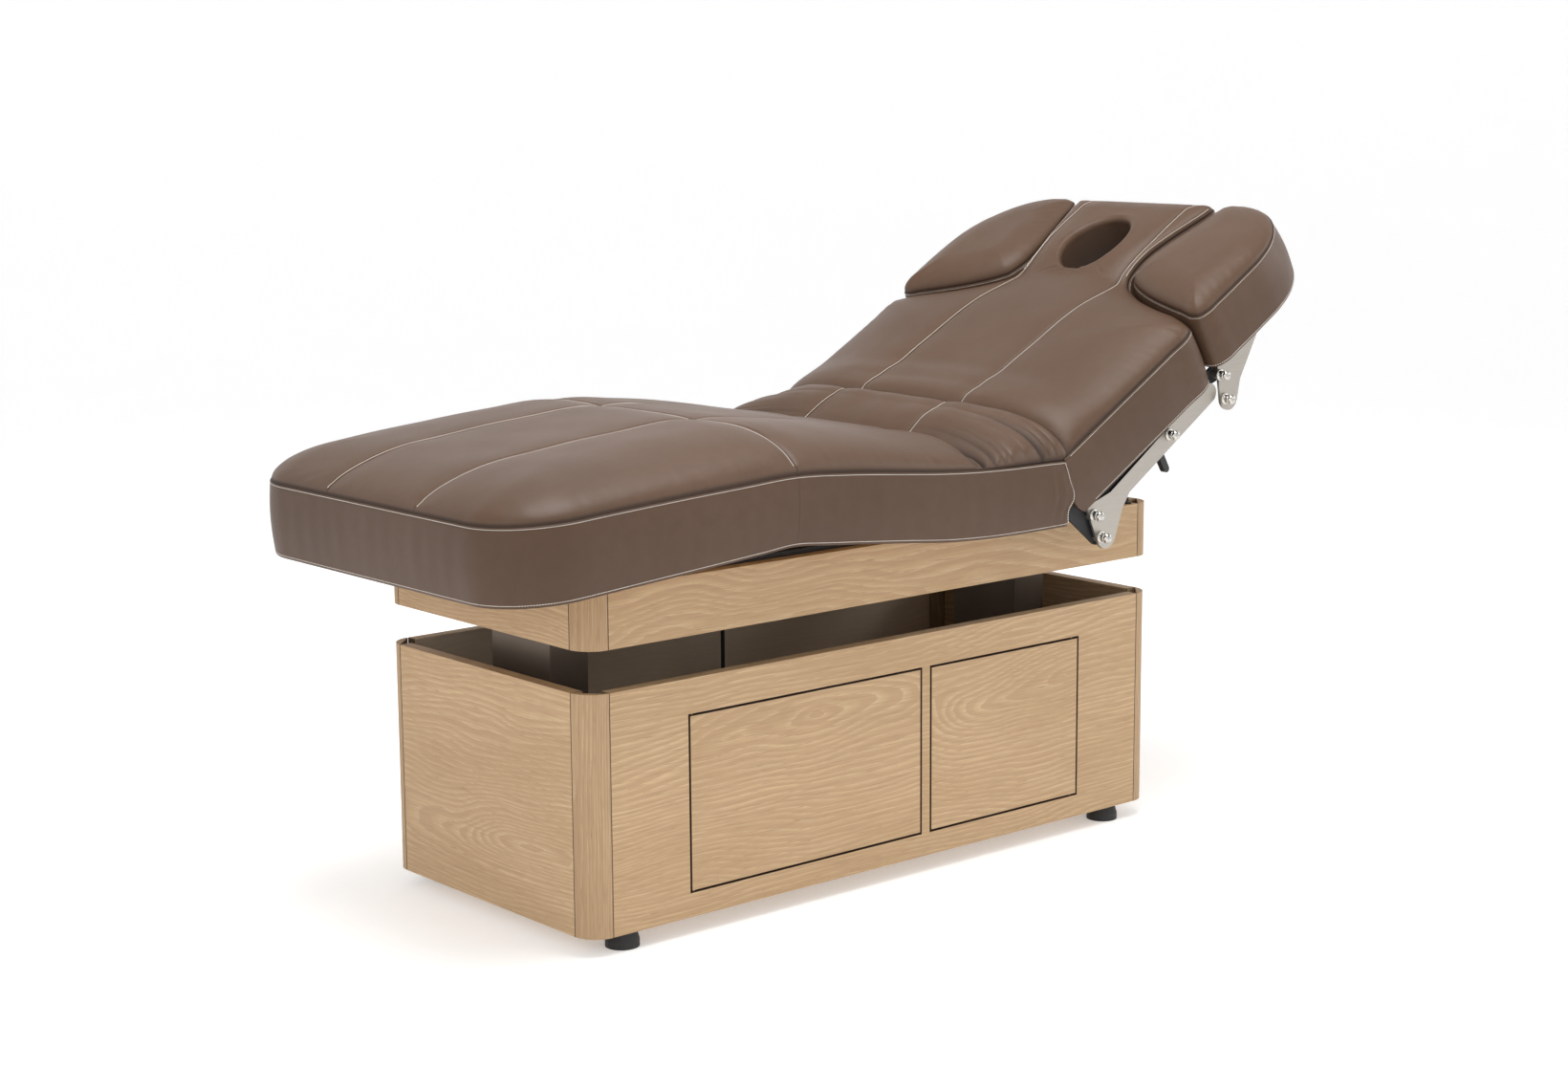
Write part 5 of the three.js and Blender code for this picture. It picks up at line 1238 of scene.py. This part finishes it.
plywood = plywood_paint()
rubber = dull_paint("black_rubber", (0.010, 0.010, 0.010), (0.018, 0.018, 0.018), 0.62, 300.0, 0.0001)
plastic = dull_paint("black_plastic", (0.010, 0.010, 0.010), (0.016, 0.016, 0.016), 0.42, 420.0, 0.00008)
brushed, chrome = brushed_paint(), chrome_paint()
bronze = coated_paint("bronze_paint", (0.150, 0.118, 0.092), 0.7, 0.38)
# painted shade for the faces inside the gaps round the doors
painted_gap_shade = dull_paint("dark_joint_stain", (0.060, 0.030, 0.016), (0.085, 0.045, 0.025), 0.7, 200.0, 0.0001)
black_steel = coated_paint("black_powder_coat", (0.020, 0.020, 0.022), 0.3, 0.48)
print("finishes ready")

# %% [markdown]
# ## Softened edges for the rigid pieces
#
# No real edge is perfectly sharp: oak is eased with sandpaper and plate is deburred, and that thin
# rounding catches the light. Each visible rigid solid is copied, its flat faces are joined, and a
# narrow bevel is put on its sharp edges. The copy rides with the same body in place of the solid.

# %% Eased copies
bodies = frame["record"]["behaviour"]["bodies"]
node_body = {node: body for body, nodes in bodies.items() for node in nodes}


def eased(node, width, material, segments=2, sharp=35):
    """A copy of a solid with its edges over the sharp angle eased by width, in millimetres."""
    mesh = frame["nodes"][node].data.copy()
    mesh.name = node + "_eased"
    box = bmesh.new()
    box.from_mesh(mesh)
    bmesh.ops.remove_doubles(box, verts=box.verts, dist=2e-6)
    bmesh.ops.dissolve_limit(box, angle_limit=math.radians(1.0), verts=box.verts, edges=box.edges)
    box.to_mesh(mesh)
    box.free()
    mesh.materials.clear()
    mesh.materials.append(material)
    obj = hang(node + "_eased", mesh)
    smooth(mesh)
    bevel = obj.modifiers.new("eased", "BEVEL")
    bevel.width, bevel.segments = width / 1000, segments
    bevel.limit_method, bevel.angle_limit = "ANGLE", math.radians(sharp)
    weighted = obj.modifiers.new("flat_faces", "WEIGHTED_NORMAL")
    weighted.keep_sharp = True
    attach(obj, node_body[node])
    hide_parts(node)
    return obj


def stain_faces(obj, faces_of, finish=painted_gap_shade):
    """Gives the faces picked by a rule on their centres and normals a finish of their own."""
    mesh = obj.data
    mesh.materials.append(finish)
    centres, normals = np.empty(len(mesh.polygons) * 3), np.empty(len(mesh.polygons) * 3)
    mesh.polygons.foreach_get("center", centres)
    mesh.polygons.foreach_get("normal", normals)
    picked = faces_of(centres.reshape(-1, 3), normals.reshape(-1, 3))
    mesh.polygons.foreach_set("material_index", picked.astype(np.int32) * (len(mesh.materials) - 1))
    return picked.sum()


oak_pieces = {"cabinet_near_panel": oak_long, "cabinet_far_panel": oak_far, "large_door": oak_door_large,
              "small_door": oak_door_small, "frame_near_rail": oak_frame, "frame_far_rail": oak_frame,
              "hand_block": oak_block}
made = {node: eased(node, 0.8, finish) for node, finish in oak_pieces.items()}
for plate in ("side_bar", "head_plate", "seat_bracket"):
    for node in (plate + "_near", plate + "_far"):
        made[node] = eased(node, 0.5, brushed, sharp=50)
for node in ("column_sleeve_foot", "column_sleeve_head", "column_tube_foot", "column_tube_head"):
    made[node] = eased(node, 0.8, bronze)
made["release_lever"] = eased("release_lever", 1.5, plastic, 3, 50)
print("eased pieces:", len(made))

# %% Painted shade in the gaps round the doors
# the doors' edges and their bevels are painted dark as the shade in the gaps round them, and so are the
# doorways they close
for door in ("large_door", "small_door"):
    shade_painted = stain_faces(made[door], lambda centre, normal: np.abs(normal[:, 1]) < 0.5)
    made[door].modifiers["eased"].material = 1
    print(door, "stained faces:", shade_painted)
panel_box = np.array(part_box("cabinet_near_panel"))


def inside_doorway(centre, normal):
    """Faces that look sideways or up and down, and lie more than 15 mm inside the panel's own outline."""
    low, high = panel_box.min(0) + 0.015, panel_box.max(0) - 0.015
    inside = (centre > low) & (centre < high)
    return (np.abs(normal[:, 1]) < 0.5) & inside[:, X] & inside[:, Z]


print("doorway faces:", stain_faces(made["cabinet_near_panel"], inside_doorway))
# the far panel's inner face is greyer and lighter: the grey is its own plainer stain, the lightness is
# painted light for the weak fill inside the cabinet. The upper faces of each side bar are painted dark as the
# shadow beside the cover
stain_faces(made["cabinet_far_panel"], lambda centre, normal: normal[:, 1] < -0.5, oak_inside_grey_with_painted_light)
upward = np.array([-math.sin(BACK_SLOPE), 0, math.cos(BACK_SLOPE)])
# painted shadow: each bar's upper faces take the black coat as the shade beside the cover
for bar in ("side_bar_near", "side_bar_far"):
    count = stain_faces(made[bar], lambda centre, normal: normal @ upward > 0.7, black_steel)
    print(bar, "upper faces:", count)

# %% [markdown]
# ## End panels and their posts
#
# Each end panel carries two quarter-round posts whose grain stands upright, while the panel's own
# grain lies across. One mesh can carry both finishes: faces near the outer corners get the post's
# oak.

# %% Two finishes on each end
def on_a_post(centre, normal):
    """Faces further out than the line between panel and post."""
    return np.abs(centre[:, Y]) > CABINET_HALF - POST


for node in ("cabinet_foot_end", "cabinet_head_end", "frame_foot_end", "frame_head_end"):
    made[node] = eased(node, 0.6, oak_end, sharp=60)
    stain_faces(made[node], on_a_post, oak_post)
print("end panels done")

# %% [markdown]
# ## Bolts
#
# The hinge plates are held by long bolts that stand out like little posts: a washer with a
# knurled rim, a collar and a domed cap nut, all bright chrome. Each is a profile turned round its
# axis, with ridges cut into the rim by a cosine, set over the plain bolt of the solid.

# %% Turned bolts
# each stop: how far out it lies, its radius, and its kind
ROUND, KNURLED, FLATTED = 0, 1, 2
BOLT_PROFILE = [(0.0, 0.0, ROUND), (0.0, 10.4, KNURLED), (0.4, 10.9, KNURLED), (2.8, 10.9, KNURLED),
                (3.3, 10.2, KNURLED), (3.5, 8.5, ROUND), (5.5, 8.4, ROUND), (6.2, 7.4, ROUND),
                (7.4, 7.4, ROUND), (8.1, 8.5, ROUND), (13.6, 8.5, ROUND), (14.2, 7.6, ROUND),
                (15.4, 7.6, ROUND), (16.0, 9.6, FLATTED), (18.8, 9.6, FLATTED), (19.3, 9.2, ROUND),
                (21.4, 8.4, ROUND), (23.2, 6.9, ROUND), (24.7, 4.6, ROUND), (25.5, 2.2, ROUND),
                (25.7, 0.0, ROUND)]
RIDGES, BOLT_SIDES = 24, 96


def bolt_points(along, up, side, plane, profile=BOLT_PROFILE, place=slope):
    """Rows of circles from plate to tip, with a small cosine on a knurled rim and six flats on the nut."""
    out, radius, kind = np.array(profile).T
    turn = np.linspace(0, 2 * math.pi, BOLT_SIDES + 1)[None]
    knurl = 1 + 0.055 * np.cos(RIDGES * turn) * (kind[:, None] == KNURLED)
    flats = 1 / np.maximum(np.cos((turn + math.pi / 6) % (math.pi / 3) - math.pi / 6), 0.86) * 0.93
    r = radius[:, None] * np.where(kind[:, None] == FLATTED, flats, knurl)
    return place(along + r * np.cos(turn), side * (plane + out[:, None]) + 0 * turn, up + r * np.sin(turn))


bar_bolts = [(52, -93), (47, -141), (298, -86)]
head_bolts = [(470, -68), (459, -117)]
BAR_PLANE, PLATE_PLANE = 397.0, 402.3
bolt_groups = [("bar_bolts_near", -1, bar_bolts, BAR_PLANE, "back"),
               ("bar_bolts_far", 1, bar_bolts, BAR_PLANE, "back"),
               ("head_bolts_near", -1, head_bolts, PLATE_PLANE, "head"),
               ("head_bolts_far", 1, head_bolts, PLATE_PLANE, "head")]
for name, side, places, plane, body in bolt_groups:
    cover = Cover(name)
    for along, up in places:
        cover.sheet(bolt_points(along, up, side, plane), turn=side < 0)
    obj = cover.make()
    obj.data.materials.append(chrome)
    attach(obj, body)
# a socket screw holds the foot column's casing near its corner
SCREW_OUTLINE = [(-0.6, 0.0), (-0.6, 3.3), (0.5, 3.3), (0.9, 2.9), (0.9, 1.8), (0.1, 1.6), (0.1, 0.0)]
screw = Cover("column_screw")
screw_profile = [(out, radius, ROUND) for out, radius in SCREW_OUTLINE]
screw.sheet(bolt_points(123, 518, -1, 87.0, screw_profile, bench), turn=True)
screw = screw.make()
screw.data.materials.append(black_steel)
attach(screw, "lift")

# %% [markdown]
# ## Dark strips behind the side bars, as painted shade
#
# Between the back's cover and each side bar the photograph shows a dark recess, which is shade. A thin black
# strip hangs there behind the bar as painted shade and keeps daylight from showing through.

# %% Painted shade: strips behind the side bars
def box_piece(name, low, high):
    """A closed box between two corners written along the slope."""
    x, y, z = np.meshgrid(*zip(low, high), indexing="ij")
    corner = np.stack([x.ravel(), y.ravel(), z.ravel()], 1).astype(float)
    mesh = bpy.data.meshes.new(name)
    faces = [(0, 1, 3, 2), (4, 6, 7, 5), (0, 4, 5, 1), (2, 3, 7, 6), (0, 2, 6, 4), (1, 5, 7, 3)]
    mesh.from_pydata(slope(*corner.T).tolist(), [], faces)
    return hang(name, mesh)


for name, low_y, high_y in (("shade_strip_near", -390.6, -387.8), ("shade_strip_far", 387.8, 390.6)):
    obj = box_piece(name, (78, low_y, -92), (264, high_y, -42))
    obj.data.materials.append(black_steel)
    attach(obj, "back")
print("edge strips hung")

# %% [markdown]
# ## Riding and finishes
#
# Each cover takes the place of its plain solid. The arm covers ride with the head and move with
# it; the covers that cross a joint have their place baked in and stay where they are.

# %% Covers take their places
def dress(obj, thread_obj, ride=None, bend=None):
    """Leather and thread get their finishes and either ride with a body or have their place baked in.

    bend is not used.
    """
    for piece, finish in ((obj, leather), (thread_obj, thread)):
        piece.data.materials.append(finish)
        if ride:
            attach(piece, ride)
        else:
            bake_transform(piece)


dress(leg_cover, leg_thread, bend=("leg", "thigh", bench(170, 0, 720), bench(362, 0, 720)))
dress(thigh_cover, seat_thread, bend=("thigh", "lift", bench(560, 0, 720), bench(790, 0, 720)))
BEND_WAY, BEND_RUN = np.array([0.513, 0, 0.858]), 0.072
crest_start = bench(888, 0, 813)
crest_end = crest_start + BEND_WAY * BEND_RUN
dress(strip, strip_thread, bend=("lift", "back", crest_start, crest_end))
dress(back_cover, back_thread, bend=("back", "head", slope(470, 0, 0), slope(590, 0, 0)))
for obj, thread_obj in zip(arm_covers, arm_threads):
    dress(obj, thread_obj, ride="head")
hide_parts("leg_cushion")
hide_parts("thigh_cushion", "seat_cushion")
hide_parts("back_cushion", "head_cushion")
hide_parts("arm_rest_near")
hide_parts("arm_rest_far")

# %% Finishes of the pieces that stay as they are
slot_finish = {"oak": oak_long, "plywood": plywood, "black_rubber": rubber, "dark_steel": bronze,
               "black_plastic": plastic, "brushed_steel": brushed, "frame_steel": black_steel,
               "leather": leather}
node_slot = {part["node"]: part["material_slot"] for part in frame["record"]["subparts"]}
for node, obj in frame["nodes"].items():
    obj.data.materials.clear()
    obj.data.materials.append(slot_finish[node_slot[node]])
print("finishes given to", len(frame["nodes"]), "solids")

# %% [markdown]
# ## Studio
#
# The photograph is a catalogue picture: a pale, even surround, with one large soft light overhead
# and a little towards the camera. Weaker ones stand in front, at the foot side and at the head
# side. The floor is plain and pale.

# %% Floor and backdrop
# a round floor whose rim sweeps up as a quarter circle, so that no horizon shows from any side
FLAT, SWEEP, WALL_TOP = 8.0, 5.0, 9.0
sweep_turn = np.linspace(0, math.pi / 2, 17)
flat = np.stack([np.linspace(0, FLAT, 9), np.zeros(9)], 1)
swept = np.stack([FLAT + SWEEP * np.sin(sweep_turn[1:]), SWEEP - SWEEP * np.cos(sweep_turn[1:])], 1)
profile = np.vstack([flat, swept, [[FLAT + SWEEP, WALL_TOP]]])
round_turn = np.linspace(0, 2 * math.pi, 97)
floor_grid = np.stack([profile[:, :1] * np.cos(round_turn), profile[:, :1] * np.sin(round_turn),
                       profile[:, 1:] + 0 * round_turn], -1)
floor_grid[:, -1] = floor_grid[:, 0]
floor_maker = Cover("studio_floor")
floor_maker.sheet(floor_grid)
floor = floor_maker.make()
pale = Paint("pale_floor", Roughness=0.9, Specular_IOR_Level=0.1, Emission_Strength=0.30)
cloud = pale.noise(pale.place, 1.2)
pale.feed(Base_Color=pale.mix(cloud, colour(0.86, 0.86, 0.86), colour(0.88, 0.88, 0.88)))
pale.shader.inputs["Emission Color"].default_value = colour(1, 1, 1)
floor.data.materials.append(pale.material)


# %% Lights
def soft_light(name, at, towards, size, watts):
    """A square light: it faces the point it is aimed at."""
    data = bpy.data.lights.new(name, "AREA")
    data.shape, data.size, data.energy = "SQUARE", size, watts
    obj = hang(name, data)
    obj.location = at
    away = np.array(at, float) - np.array(towards, float)
    away /= np.linalg.norm(away)
    obj.rotation_euler = (math.acos(away[2]), 0, math.atan2(away[1], away[0]) + math.pi / 2)


soft_light("overhead", (-0.3, -0.5, 3.6), (0, 0, 0.8), 2.2, 124)
soft_light("front", (-2.6, -4.4, 2.2), (0, 0, 0.5), 2.4, 9)
soft_light("foot_side", (-4.0, -0.9, 2.5), (-0.6, 0, 0.4), 1.5, 24)
soft_light("head_side", (3.6, -1.8, 2.4), (0.4, 0, 0.8), 1.4, 30)
world = bpy.data.worlds.new("studio")
world.use_nodes = True
sky = world.node_tree.nodes["Background"]
sky.inputs["Color"].default_value = colour(1, 1, 1)
sky.inputs["Strength"].default_value = 0.55
bpy.context.scene.world = world

# %% The photograph's camera
from mathutils import Matrix

AZIMUTH, ELEVATION, ROLL = math.radians(-40.48), math.radians(9.945), math.radians(-0.39)
STANDPOINT, LENS, SENSOR = (-3.3019, -3.7789, 1.4575), 61.59, 36.0
level = math.cos(ELEVATION)
back = np.array([math.sin(AZIMUTH) * level, -math.cos(AZIMUTH) * level, math.sin(ELEVATION)])
right = np.cross(-back, [0, 0, 1])
right /= np.linalg.norm(right)
up = np.cross(right, -back)
c, s = math.cos(ROLL), math.sin(ROLL)
right, up = c * right + s * up, -s * right + c * up
camera_data = bpy.data.cameras.new("photo_camera")
camera_data.lens, camera_data.sensor_width = LENS, SENSOR
camera = hang("photo_camera", camera_data)
pose = np.eye(4)
pose[:3] = np.stack([right, up, back, STANDPOINT], 1)
camera.matrix_world = Matrix(pose.tolist())
bpy.context.scene.camera = camera
bpy.context.scene.view_settings.view_transform = "Standard"
